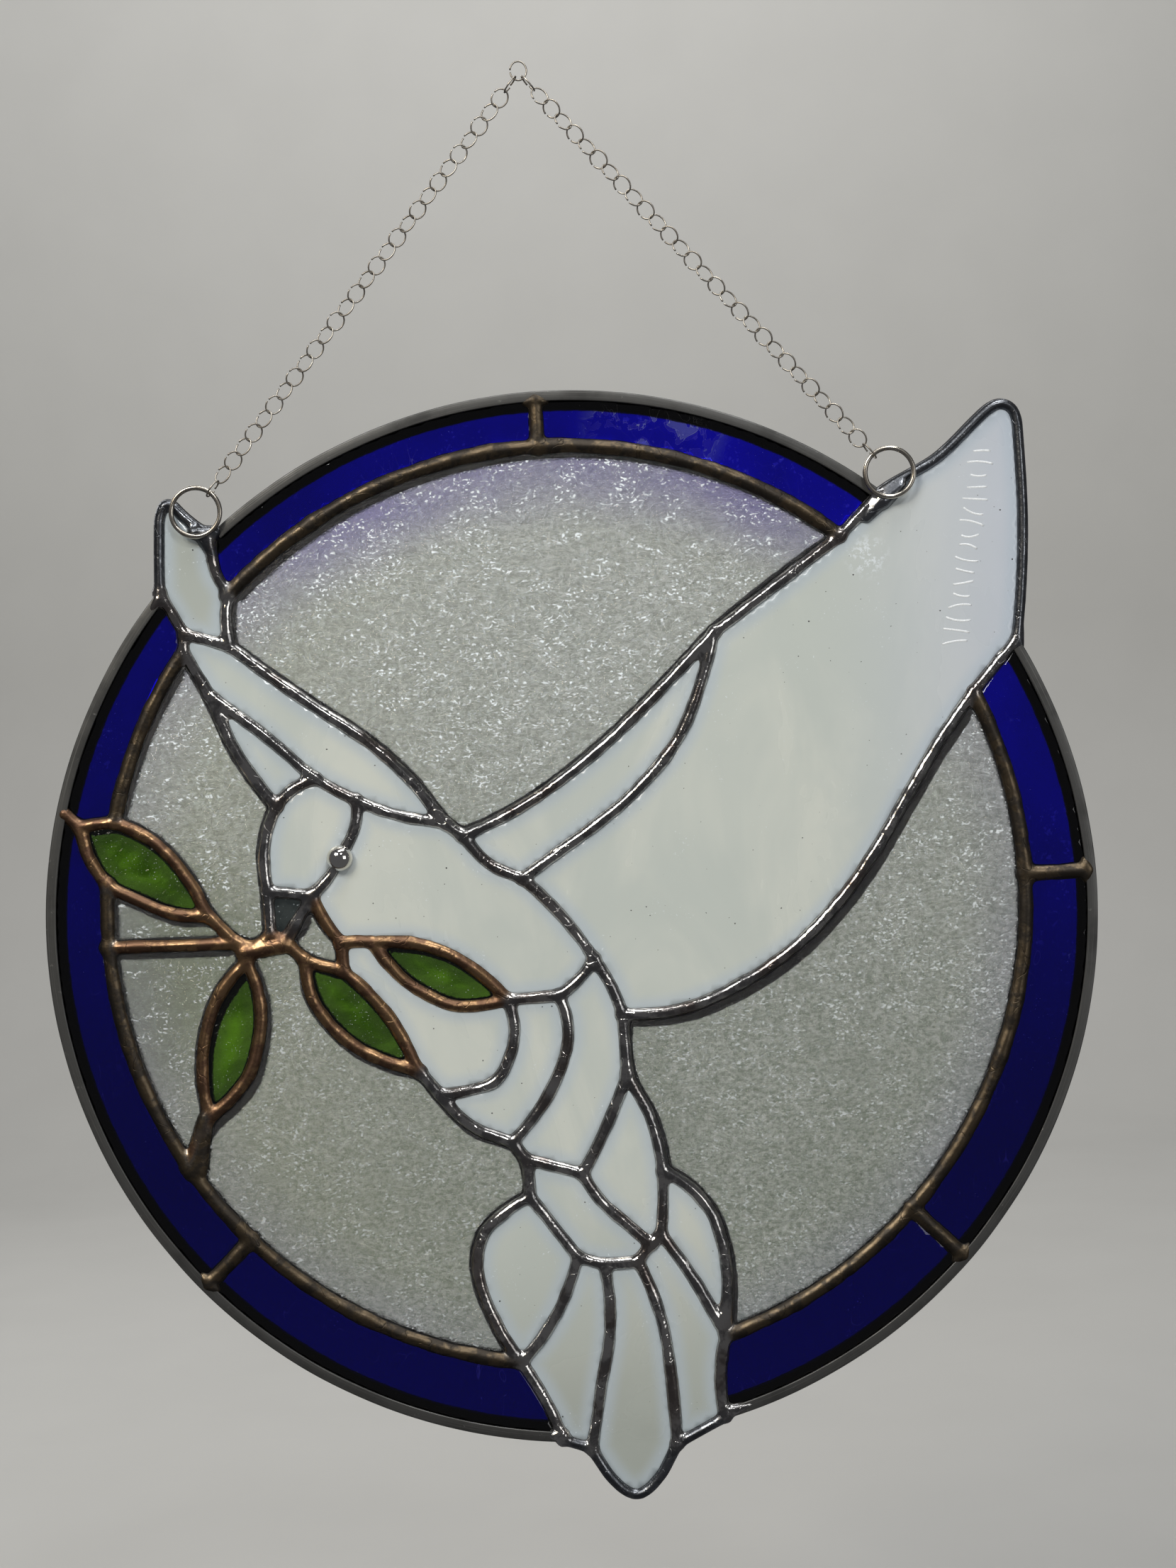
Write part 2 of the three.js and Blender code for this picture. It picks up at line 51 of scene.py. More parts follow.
class Wire:
    # a socket of a shader, so that sums on sockets read as sums
    def __init__(self, tree, socket=None):
        self.tree, self.socket = tree, socket

    def node(self, kind, settings=None, sockets=None, output=0):
        made = self.tree.nodes.new(kind)
        for name, value in (settings or {}).items():
            setattr(made, name, value)
        for key, value in (sockets or {}).items():
            if isinstance(value, Wire):
                self.tree.links.new(value.socket, made.inputs[key])
            elif isinstance(value, tuple) and made.inputs[key].type == "RGBA":
                made.inputs[key].default_value = (*value, 1)
            else:
                made.inputs[key].default_value = value
        return Wire(self.tree, made.outputs[output] if made.outputs else None)

    def maths(self, operation, first, second=0.0):
        return self.node("ShaderNodeMath", {"operation": operation}, {0: first, 1: second})

    def __add__(self, other):
        return self.maths("ADD", self, other)

    def __sub__(self, other):
        return self.maths("SUBTRACT", self, other)

    def __rsub__(self, other):
        return self.maths("SUBTRACT", other, self)

    def __mul__(self, other):
        return self.maths("MULTIPLY", self, other)

    __radd__ = __add__
    __rmul__ = __mul__

    def size(self):
        return self.maths("ABSOLUTE", self)

    def greater(self, other):
        return self.maths("MAXIMUM", self, other)

    def rise(self, low, high):
        # 0 below low, 1 above high, and soft between them
        return self.node("ShaderNodeMapRange", {"interpolation_type": "SMOOTHSTEP"},
                         {"Value": self, "From Min": low, "From Max": high})

    def tint(self, colour, other):
        # this mask lays one colour over another
        return self.node("ShaderNodeMix", {"data_type": "RGBA"}, {0: self, 6: other, 7: colour}, 2)

    def stretch(self, by):
        return self.node("ShaderNodeVectorMath", {"operation": "MULTIPLY"}, {0: self, 1: by})

    def noise(self, scale, detail=2.0, rough=0.5, warp=0.0):
        return self.node("ShaderNodeTexNoise", None, {
            "Vector": self, "Scale": scale, "Detail": detail, "Roughness": rough, "Distortion": warp})

    def near(self, point, inner, outer):
        # 1 within the inner distance of a point, 0 beyond the outer one
        distance = self.node("ShaderNodeVectorMath", {"operation": "DISTANCE"}, {0: self, 1: point}, "Value")
        return 1.0 - distance.rise(inner, outer)

    def line(self, level, width):
        # 1 in thin lines, where this passes the level
        return 1.0 - (self - level).size().rise(0.0, width)

    def axis(self, name):
        return self.node("ShaderNodeSeparateXYZ", None, {0: self}, name)

    def bump(self, distance, strength=1.0):
        return self.node("ShaderNodeBump", None, {
            "Height": self, "Distance": distance, "Strength": strength})


def startMaterial(name):
    material = bpy.data.materials.new(name)
    material.use_nodes = True
    material.node_tree.nodes.clear()
    start = Wire(material.node_tree)
    place = start.node("ShaderNodeTexCoord", None, None, "Object").stretch((1 / mm, 1 / mm, 1 / mm))
    return material, start, place


def mark(start, name, output="Fac"):
    return start.node("ShaderNodeAttribute", {"attribute_name": name}, None, output)


def raggedBelow(start, place, name, scale, low, high):
    # 1 where the mark is low, with a ragged border
    return 1.0 - (mark(start, name) + place.noise(scale, 3.0) * 0.5).rise(low, high)


def endMaterial(start, sockets):
    shader = start.node("ShaderNodeBsdfPrincipled", None, sockets)
    start.node("ShaderNodeOutputMaterial", None, {"Surface": shader})


# painted glints: the opaque white of the specks that stand in for sparkle on glass
glintWhite = {"Base Color": (0.86, 0.92, 0.95), "Roughness": 0.4}


def endGlass(start, spark, sockets):
    # painted glints: glass whose surface is painted opaque white where spark is 1
    glass = start.node("ShaderNodeBsdfPrincipled", None, sockets)
    frost = start.node("ShaderNodeBsdfPrincipled", None, glintWhite)
    mixed = start.node("ShaderNodeMixShader", None, {0: spark, 1: glass, 2: frost})
    start.node("ShaderNodeOutputMaterial", None, {"Surface": mixed})


# glass; places are in millimetres from the hook

seeThrough = {"IOR": 1.5, "Transmission Weight": 1.0}
cobalt = {
    "deep": (0.0005, 0.0003, 0.105), "bright": (0.004, 0.002, 0.60), "cell": (0.10, 0.12, 1.0),
    "dust": (0.45, 0.5, 0.75), "shadow": (0.0006, 0.0006, 0.0008),
    "shadowReach": (2.7, 3.05),  # from the came's edge
    "stainAt": (34.0, 2.6, -105.0)}


def cobaltGlass():
    material, start, place = startMaterial("cobaltGlass")
    # painted light: the blue is drawn brighter towards the top and the right, as if lit and reflecting light
    # there
    bright = place.axis("Z").rise(-330.0, -110.0) * (0.55 + 0.45 * place.axis("X").rise(-40.0, 60.0))
    cloud = place.noise(0.035, 3.0, 0.6).rise(0.3, 0.7)
    colour = (bright * (0.6 + 0.4 * cloud)).tint(cobalt["bright"], cobalt["deep"])
    # the blue catches light in small bright cells behind the glass
    cell = place.noise(0.55, 2.0).rise(0.62, 0.72) * place.noise(0.06, 1.0).rise(0.52, 0.62)
    colour = (cell * bright).tint(cobalt["cell"], colour)
    # milky outlines where water dried on the glass at the upper right
    wet = place.noise(0.14, 3.0, 0.55, 0.6)
    stain = wet.line(0.53, 0.014).greater(wet.rise(0.53, 0.56) * 0.25)
    stain = stain * place.near(cobalt["stainAt"], 12.0, 24.0)
    # hair scratches and dust
    hair = place.stretch((1.0, 1.0, 0.4)).noise(0.12, 1.0, 0.5, 1.4).line(0.5, 0.0035)
    hair = hair * place.noise(0.09, 1.0).rise(0.55, 0.68)
    speck = place.noise(1.5, 1.0).rise(0.74, 0.78) * place.noise(0.05, 2.0).rise(0.42, 0.6)
    dust = (stain * 0.8).greater(hair * 0.5).greater(speck * 0.7)
    colour = dust.tint(cobalt["dust"], colour)
    shadow = raggedBelow(start, place, "rim", 0.3, *cobalt["shadowReach"])
    colour = shadow.tint(cobalt["shadow"], colour)
    endMaterial(start, {
        **seeThrough, "Base Color": colour, "Roughness": 0.03 + dust * 0.4, "Specular IOR Level": 0.12,
        "Normal": (place.noise(0.12, 3.0) + dust * 0.05).bump(0.12 * mm, 0.35)})
    return material


foilAndShadowReach = (0.1, 0.35)  # where the dark border of foil and painted shadow ends
clear = {
    "tone": (0.33, 0.38, 0.31), "pale": (0.96, 1.0, 0.97), "violet": (0.34, 0.30, 0.72),
    "olive": (0.50, 0.52, 0.36), "hair": (0.12, 0.13, 0.12), "foilAndShadow": (0.004, 0.004, 0.005),
    "darkAt": (-122.0, 2.6, -256.0)}


def clearGlass():
    material, start, place = startMaterial("clearGlass")
    flow = place.stretch((1.0, 1.0, 1.7))
    grain = flow.noise(0.6, 4.0, 0.62, 0.25)
    pit = flow.noise(1.7, 2.0, 0.6)
    cloud = place.noise(0.03, 3.0, 0.6).rise(0.3, 0.7)
    speck = flow.noise(0.95, 3.0, 0.6, 0.15)
    # painted light: pale and dark specks stand in for light bent by the rolled texture
    pale = (grain.rise(0.45, 0.56) * 0.42 + speck.rise(0.46, 0.57) * 0.62) * (0.75 + 0.25 * cloud)
    # painted light: it is palest at the top, as if lit from above, and it is darkest by the stem on the left
    pale = pale * 0.75 + 0.42 * place.axis("Z").rise(-350.0, -130.0)
    pale = pale - place.near(clear["darkAt"], 8.0, 48.0) * 0.75
    colour = pale.tint(clear["pale"], clear["tone"])
    colour = ((1.0 - place.axis("X").rise(-120.0, 10.0)) * 0.35).tint(clear["olive"], colour)
    # painted light: a violet fringe inside the ring, where light through the blue glass would fall, strongest
    # at the top
    paintedBlueLight = 1.0 - mark(start, "rim").rise(3.0, 26.0)
    paintedBlueLight = paintedBlueLight * (0.25 + 0.75 * place.axis("Z").rise(-190.0, -125.0))
    colour = (paintedBlueLight * (0.45 + 0.4 * cloud)).tint(clear["violet"], colour)
    # long fine scratches that cross the glass
    hair = place.stretch((0.35, 1.0, 1.0)).noise(0.028, 1.0, 0.5, 1.2).line(0.5, 0.0010)
    hair = hair * place.noise(0.03, 1.0).rise(0.5, 0.6)
    colour = (hair * 0.7).tint(clear["hair"], colour)
    # a dark border along the bead: the black foil, partly a painted shadow of the bead
    foilAndShadow = raggedBelow(start, place, "foilAndShadow", 0.45, *foilAndShadowReach)
    colour = foilAndShadow.tint(clear["foilAndShadow"], colour)
    # painted glints: white specks stand in for sparkle, thickest towards the top
    spark = flow.noise(0.9, 2.0, 0.6).rise(0.575, 0.64) * flow.noise(0.16, 2.0).rise(0.38, 0.60)
    spark = spark * (0.35 + 0.65 * place.axis("Z").rise(-330.0, -150.0)) * (1.0 - foilAndShadow)
    endGlass(start, spark, {
        **seeThrough, "Base Color": colour, "Roughness": 0.06,
        "Normal": (grain + pit * 0.30).bump(0.75 * mm, 0.9)})
    return material


opal = {"milk": (0.545, 0.59, 0.555), "edge": (0.46, 0.54, 0.62), "wisp": (0.66, 0.685, 0.625),
        "blue": (0.52, 0.565, 0.66), "dense": (0.345, 0.375, 0.345), "scuff": (0.86, 0.92, 0.98),
        "pin": (0.05, 0.05, 0.05), "darkerAt": (-107.0, 2.6, -138.0), "rubbedAt": (93.0, 2.6, -148.0)}


def opalGlass():
    material, start, place = startMaterial("opalGlass")
    wisp = place.stretch((1.0, 1.0, 0.5)).noise(0.028, 4.0, 0.55, 0.8).rise(0.38, 0.68)
    colour = (wisp * 0.75).tint(opal["wisp"], opal["milk"])
    # the sheet is bluer towards the right wing's tip, and darker in the tail and at the left wing's tip
    colour = (place.axis("X").rise(70.0, 150.0) * 0.9).tint(opal["blue"], colour)
    dense = 1.0 - place.axis("Z").rise(-415.0, -315.0)
    dense = dense.greater(0.75 * place.near(opal["darkerAt"], 14.0, 36.0))
    colour = (dense * (0.8 + 0.2 * wisp)).tint(opal["dense"], colour)
    # painted shade: the milky glass is darker and bluer near its seams, where less light comes through it
    edge = 1.0 - mark(start, "edge").rise(0.2, 4.6)
    colour = (edge * 0.6).tint(opal["edge"], colour)
    scuff = place.noise(1.3, 2.0, 0.6).rise(0.66, 0.74) * place.noise(0.07, 2.0).rise(0.54, 0.66)
    rubbed = place.noise(0.55, 4.0, 0.75).rise(0.50, 0.60) * place.near(opal["rubbedAt"], 2.0, 8.0)
    colour = (scuff * 0.5).greater(rubbed * 0.6).tint(opal["scuff"], colour)
    pin = place.noise(1.1, 0.0).rise(0.84, 0.86)
    colour = pin.tint(opal["pin"], colour)
    endMaterial(start, {
        "Base Color": colour, "Roughness": 0.22 + wisp * 0.08, "IOR": 1.5, "Coat Weight": 0.35,
        "Coat Roughness": 0.08, "Normal": (place.noise(0.10, 3.0) + scuff * 0.1).bump(0.15 * mm, 0.25)})
    return material


green = {"leaf": (0.15, 0.36, 0.018), "deep": (0.045, 0.13, 0.002), "blue": (0.065, 0.115, 0.03),
         "foilAndShadow": (0.003, 0.004, 0.003)}


def greenGlass():
    material, start, place = startMaterial("greenGlass")
    streak = place.noise(0.09, 3.0, 0.55, 1.0).rise(0.35, 0.65)
    colour = streak.tint(green["leaf"], green["deep"])
    colour = ((1.0 - mark(start, "edge").rise(1.5, 5.5)) * 0.55).tint(green["blue"], colour)
    grain = place.noise(0.6, 3.0, 0.6, 0.6)
    # painted glints: small white specks stand in for sparkle, as on the clear glass
    spark = (place.noise(1.9, 1.0).rise(0.66, 0.74) * place.noise(0.25, 1.0).rise(0.45, 0.65)) * 0.4
    # a dark border along the bead: the black foil, partly a painted shadow of the bead
    foilAndShadow = raggedBelow(start, place, "foilAndShadow", 0.5, *foilAndShadowReach)
    colour = foilAndShadow.tint(green["foilAndShadow"], colour)
    endGlass(start, spark * (1.0 - foilAndShadow), {
        **seeThrough, "Base Color": colour, "Roughness": 0.09,
        "Normal": grain.bump(0.5 * mm, 0.7)})
    return material


slate = {"dark": (0.016, 0.021, 0.022), "pale": (0.038, 0.046, 0.046), "speck": (0.30, 0.34, 0.36)}


def slateGlass():
    material, start, place = startMaterial("slateGlass")
    colour = place.noise(0.12, 4.0, 0.6, 0.5).rise(0.35, 0.7).tint(slate["pale"], slate["dark"])
    speck = place.noise(1.4, 1.0).rise(0.72, 0.76)
    colour = (speck * 0.6).tint(slate["speck"], colour)
    endMaterial(start, {"Base Color": colour, "Roughness": 0.12 + speck * 0.3, "Coat Weight": 0.4,
                        "Coat Roughness": 0.05, "Normal": place.noise(0.3, 3.0).bump(0.1 * mm, 0.5)})
    return material


# metal

solder = {
    "silver": (0.56, 0.545, 0.52), "tarnish": (0.13, 0.13, 0.135), "copper": (0.36, 0.222, 0.118),
    "umber": (0.14, 0.08, 0.052), "bronze": (0.135, 0.104, 0.068), "coal": (0.050, 0.044, 0.038),
    "rim": (0.20, 0.21, 0.225), "rimDark": (0.07, 0.075, 0.085), "grime": (0.012, 0.011, 0.010),
    "polish": (0.74, 0.72, 0.68)}


def solderMetal():
    material, start, place = startMaterial("solderPatina")
    cloud = place.noise(0.16, 4.0, 0.6, 0.4).rise(0.34, 0.66)
    fine = place.noise(0.9, 3.0, 0.6)
    smut = (cloud * 0.6 + fine * 0.5).rise(0.35, 0.75)
    silver = (smut * 0.75).tint(solder["tarnish"], solder["silver"])
    silver = (place.noise(0.04, 2.0).rise(0.5, 0.62) * 0.4).tint(solder["umber"], silver)
    copper = (smut * 0.9).tint(solder["umber"], solder["copper"])
    bronze = (smut * 0.9).tint(solder["coal"], solder["bronze"])
    rim = (smut * 0.8).tint(solder["rimDark"], solder["rim"])
    isCopper, isBronze, isRim = (mark(start, name) for name in ("copper", "bronze", "rim"))
    polish = mark(start, "polish")
    colour = isCopper.tint(copper, silver)
    colour = isBronze.tint(bronze, colour)
    colour = isRim.tint(rim, colour)
    colour = polish.tint(solder["polish"], colour)
    # flux and black patina gather where the bead meets the glass
    depth = (place.axis("Y") - glassMiddle / mm).size()
    grime = 1.0 - (depth + fine * 0.5).rise(glassHalf / mm + 0.25, glassHalf / mm + 0.62)
    grime = grime * (1.0 - polish)
    colour = grime.tint(solder["grime"], colour)
    # short folds across the bead, where the iron was lifted
    fold = place.noise(0.17, 1.0, 0.4, 0.3).line(0.5, 0.012)
    fold = fold * place.noise(0.05, 0.0).rise(0.4, 0.6) * (1.0 - polish)
    colour = (fold * 0.45).tint(solder["grime"], colour)
    satin = isCopper.greater(isBronze).greater(isRim * 0.6)
    roughness = (0.09 + satin * 0.22 + isBronze * 0.08 + smut * 0.12 + grime * 0.3) * (1.0 - polish * 0.6)
    height = place.noise(0.45, 3.0, 0.55) * 0.6 + fine * 0.12 - fold * 0.35
    endMaterial(start, {"Base Color": colour, "Metallic": 1.0 - grime * 0.6, "Roughness": roughness,
                        "Normal": (height * (1.0 - polish)).bump(0.30 * mm, 0.65)})
    return material


zinc = {"face": (0.135, 0.135, 0.13), "worn": (0.26, 0.26, 0.245), "dark": (0.045, 0.045, 0.044)}


def zincCame():
    material, start, place = startMaterial("zincCame")
    brush = mark(start, "lie", "Vector").stretch((0.02, 5.0, 5.0)).noise(1.0, 4.0, 0.6)
    blotch = place.noise(0.05, 4.0, 0.6).rise(0.35, 0.7)
    colour = (blotch * 0.8).tint(zinc["dark"], zinc["face"])
    colour = (brush.rise(0.52, 0.75) * 0.7).tint(zinc["worn"], colour)
    nick = place.noise(0.5, 3.0, 0.7).rise(0.66, 0.72)
    colour = (nick * 0.5).tint(zinc["worn"], colour)
    endMaterial(start, {"Base Color": colour, "Metallic": 0.85, "Roughness": 0.40 + blotch * 0.16,
                        "Normal": (brush * 0.5 + nick * 0.3).bump(0.12 * mm, 0.5)})
    return material


wire = {"bright": (0.66, 0.62, 0.54), "dull": (0.30, 0.27, 0.23)}


def wireMetal(name, dullness, roughness):
    material, start, place = startMaterial(name)
    smut = place.noise(0.14, 4.0, 0.55).rise(0.35, 0.7) * (1.0 - dullness) + dullness
    colour = smut.tint(wire["dull"], wire["bright"])
    endMaterial(start, {"Base Color": colour, "Metallic": 1.0, "Roughness": roughness + smut * 0.18,
                        "Normal": place.noise(0.8, 2.0).bump(0.03 * mm, 0.4)})
    return material


scratched = {"bright": (0.90, 0.93, 0.95), "dull": (0.74, 0.78, 0.80)}


def frostedScratch():
    material, start, place = startMaterial("frostedScratch")
    frost = place.noise(2.6, 3.0, 0.7)
    colour = frost.rise(0.35, 0.65).tint(scratched["bright"], scratched["dull"])
    endMaterial(start, {"Base Color": colour, "Roughness": 0.6, "Normal": frost.bump(0.05 * mm, 0.6)})
    return material


# outlines of the panes, read from the frame


def frontLoop(name):
    mesh = nodes[name].data
    front = min(vertex.co.y for vertex in mesh.vertices)
    spots = [(round(v.co.x, 6), round(v.co.z, 6)) for v in mesh.vertices]
    edges = set()
    for face in mesh.polygons:
        if all(mesh.vertices[i].co.y < front + tiny for i in face.vertices):
            ring = [spots[i] for i in face.vertices]
            edges.update(zip(ring, ring[1:] + ring[:1]))
    following = {a: b for a, b in edges if (b, a) not in edges}
    first = spot = min(following)
    loop = []
    while not loop or spot != first:
        loop.append(spot)
        spot = following[spot]
    loop = np.array(loop)
    following = np.roll(loop, -1, axis=0)
    area = (loop[:, 0] * following[:, 1] - loop[:, 1] * following[:, 0]).sum()
    return loop if area > 0 else loop[::-1]


curve = {"sharp": 64, "bulge": 0.95 * mm, "error": 0.65 * mm, "freeTurn": 15.0, "freeCut": 2.6 * mm,
         "freeShare": 0.46, "apart": 3.5 * mm, "mitre": 0.45}


def turnsOf(loop):
    before, after = loop - np.roll(loop, 1, axis=0), np.roll(loop, -1, axis=0) - loop
    cross = before[:, 0] * after[:, 1] - before[:, 1] * after[:, 0]
    return np.degrees(np.arctan2(cross, (before * after).sum(axis=1)))


def cornersOf(loop):
    # a turn that is too sharp for the lengths beside it can't be a step along a curve
    turns = np.abs(turnsOf(loop))
    before = np.linalg.norm(loop - np.roll(loop, 1, axis=0), axis=1)
    longer = np.maximum(before, np.roll(before, -1))
    bulge = longer * np.radians(turns) / 8
    return [i for i in range(len(loop)) if turns[i] > curve["sharp"] or bulge[i] > curve["bulge"]]


def eased(slope, chord, length):
    # a drawn curve leaves its chord by no more than the frame's own error
    turn = math.atan2(chord[0] * slope[1] - chord[1] * slope[0], chord @ slope)
    most = 4 * curve["error"] / length
    turn = np.clip(turn, -most, most)
    return np.array([chord[0] * math.cos(turn) - chord[1] * math.sin(turn),
                     chord[0] * math.sin(turn) + chord[1] * math.cos(turn)])


def partsOf(length, spacing):
    return max(1, round(length / spacing))


def throughPoints(run, spacing):
    # a smooth curve through the points of a run, ended freely
    steps = np.linalg.norm(np.diff(run, axis=0), axis=1)
    if len(run) < 3:
        slopes = np.repeat((run[1:] - run[:1]) / steps[0], 2, axis=0)
    else:
        slope = np.diff(run, axis=0) / steps[:, None]
        before, after = steps[:-1, None], steps[1:, None]
        middle = (slope[:-1] * after + slope[1:] * before) / (before + after)
        slopes = np.vstack([2 * slope[:1] - middle[:1], middle, 2 * slope[-1:] - middle[-1:]])
    points = []
    for i, step in enumerate(steps):
        chord = (run[i + 1] - run[i]) / step
        leave, arrive = eased(slopes[i], chord, step), eased(slopes[i + 1], chord, step)
        parts = partsOf(step, spacing)
        for part in np.arange(parts) / parts:
            a, b = part * part * (3 - 2 * part), part * (1 - part)
            points.append(run[i] * (1 - a) + run[i + 1] * a
                          + step * b * ((1 - part) * (leave - chord) - part * (arrive - chord))
                          + (run[i + 1] - run[i]) * (part - a))
    return points


def roundedTips(name, loops):
    # corners that stick out of the hoop and meet no other pane are ground round
    loop = loops[name]
    others = np.vstack([other for key, other in loops.items() if key != name])
    turns = turnsOf(loop)
    rounded = []
    for i, point in enumerate(loop):
        before, after = loop[i - 1] - point, loop[(i + 1) % len(loop)] - point
        free = (np.linalg.norm(point - hoopCentre) > hoopRadius + curve["freeCut"]
                and np.linalg.norm(others - point, axis=1).min() >= curve["apart"])
        if not free or turns[i] < curve["freeTurn"]:
            rounded.append(point)
            continue
        ends = [point + side * min(curve["freeCut"] / np.linalg.norm(side), curve["freeShare"])
                for side in (before, after)]
        for part in (0, 0.25, 0.5, 0.75, 1):
            rounded.append(ends[0] * (1 - part) ** 2 + point * 2 * part * (1 - part) + ends[1] * part ** 2)
    return np.array(rounded)


def smoothLoop(loop, spacing):
    corners = cornersOf(loop)
    count = len(loop)
    if not corners:
        wrapped = np.vstack([loop[-2:], loop, loop[:3]])
        dense = throughPoints(wrapped, spacing)
        steps = [partsOf(length, spacing) for length in np.linalg.norm(np.diff(wrapped, axis=0), axis=1)]
        return np.array(dense[sum(steps[:2]):-sum(steps[-2:])]), set()
    points, sharp = [], set()
    for here, there in zip(corners, corners[1:] + [corners[0] + count]):
        sharp.add(len(points))
        points += throughPoints(loop[np.arange(here, there + 1) % count], spacing)
    return np.array(points), sharp


def normalsOf(loop, sharp):
    along = np.roll(loop, -1, axis=0) - np.roll(loop, 1, axis=0)
    along /= np.linalg.norm(along, axis=1)[:, None]
    outward = np.stack([along[:, 1], -along[:, 0]], axis=1)
    for i in sharp:
        # a corner's point moves out along its mitre, but never far
        before, after = loop[i] - loop[i - 1], loop[(i + 1) % len(loop)] - loop[i]
        turn = math.atan2(before[0] * after[1] - before[1] * after[0], before @ after)
        outward[i] = outward[i] / max(curve["mitre"], math.cos(turn / 2))
    return outward


def circleThrough(points):
    # least squares circle, for the hoop's centre and radius
    rows = np.column_stack([2 * points, np.ones(len(points))])
    found = np.linalg.lstsq(rows, (points ** 2).sum(axis=1), rcond=None)[0]
    return found[:2], math.sqrt(found[2] + found[0] ** 2 + found[1] ** 2)


def verticesOf(name):
    return np.array([v.co for v in nodes[name].data.vertices])


came = {"nodes": ("came_top", "came_left", "came_right"), "face": 3.0, "wall": 0.8, "lip": 0.6,
        "round": 0.45, "lipRound": 0.27, "step": 0.8, "wobble": (0.10, 9), "creaseTurn": 50}
# the hoop's circle is fitted twice, to points that lie nearer and nearer its outside
hoopPoints = np.vstack([verticesOf(name)[:, [0, 2]] for name in came["nodes"]])
hoopCentre = (hoopPoints.max(axis=0) + hoopPoints.min(axis=0)) / 2
for band in (2.2, 0.2):
    away = np.linalg.norm(hoopPoints - hoopCentre, axis=1)
    hoopCentre, hoopRadius = circleThrough(hoopPoints[away > away.max() - band * mm])
cameInside = hoopRadius - came["face"] * mm


def radiusAt(x, z):
    return math.hypot(x - hoopCentre[0], z - hoopCentre[1])


print("hoop", hoopRadius / mm)

# slot, spacing of the grid, ripple height and ripple length
glassKinds = {
    "blue": ("cobalt_glass", 2.2, 0.03, 12.0), "clear": ("clear_glass", 1.1, 0.10, 3.2),
    "leaf": ("green_glass", 1.2, 0.08, 4.0), "beak": ("slate_glass", 1.2, 0.04, 6.0)}
opalKind = ("opal_glass", 2.0, 0.05, 16.0)


def kindOf(name):
    return glassKinds.get(name.split("_")[0], opalKind)


paneNames = sorted(n for n in nodes if not n.startswith(("solder", "came", "hanging", "chain")))
glassFront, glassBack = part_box("body")[0].y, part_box("body")[1].y
glassMiddle, glassHalf = (glassFront + glassBack) / 2, (glassBack - glassFront) / 2
outlineStep = 1.1 * mm
straightLoops = {name: frontLoop(name) for name in paneNames}
outlines = {name: smoothLoop(roundedTips(name, straightLoops), outlineStep) for name in paneNames}
print("outlines", len(outlines), sum(len(loop) for loop, sharp in outlines.values()))


def treeOf(points):
    tree = kdtree.KDTree(len(points))
    for i, (x, z) in enumerate(points):
        tree.insert((x, 0, z), i)
    tree.balance()
    return tree


def treeOfLines(lines):
    # the points of every line, and the pane that each point belongs to
    owners = [name for name, line in lines.items() for point in line]
    return treeOf(np.vstack(list(lines.values()))), owners


def addPart(verts, faces, part):
    shift = len(verts)
    verts += part[0]
    faces += [tuple(shift + i for i in face) for face in part[1]]


def addObject(name, data):
    made = bpy.data.objects.new(name, data)
    bpy.context.scene.collection.objects.link(made)
    return made


def finishObject(name, mesh, material, replaced=()):
    piece = addObject(name, mesh)
    mesh.materials.append(material)
    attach(piece, "root")
    if replaced:
        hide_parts(*replaced)


def meshOf(name, points, faces):
    mesh = bpy.data.meshes.new(name)
    mesh.from_pydata([tuple(p) for p in points], [], [tuple(f) for f in faces])
    mesh.validate()
    mesh.polygons.foreach_set("use_smooth", [True] * len(mesh.polygons))
    return mesh


def setMark(mesh, name, values):
    layer = mesh.attributes.new(name, "FLOAT", "POINT")
    layer.data.foreach_set("value", np.asarray(values, dtype=np.float32))


def insideLoop(points, loop):
    inside = np.zeros(len(points), bool)
    for a, b in zip(loop, np.roll(loop, -1, axis=0)):
        crosses = (a[1] > points[:, 1]) != (b[1] > points[:, 1])
        if a[1] != b[1]:
            inside ^= crosses & (points[:, 0] < (b[0] - a[0]) * (points[:, 1] - a[1]) / (b[1] - a[1]) + a[0])
    return inside


pane = {
    "seam": 1.35, "clearSeam": 1.55,  # from a pane's edge to the bead's
    "foilAndShadow": 0.75, "foilShadow": 1.5, "shadowFrom": (-0.55, 0.83),  # how far the dark band of foil and painted shadow reaches past the bead, and the side where the painted shadow is heavier
    "apart": 0.6, "fade": 2.5, "smallWave": (0.45, 2.3), "sideShift": 0.05,
    "merge": 1e-7, "ringShare": 96}


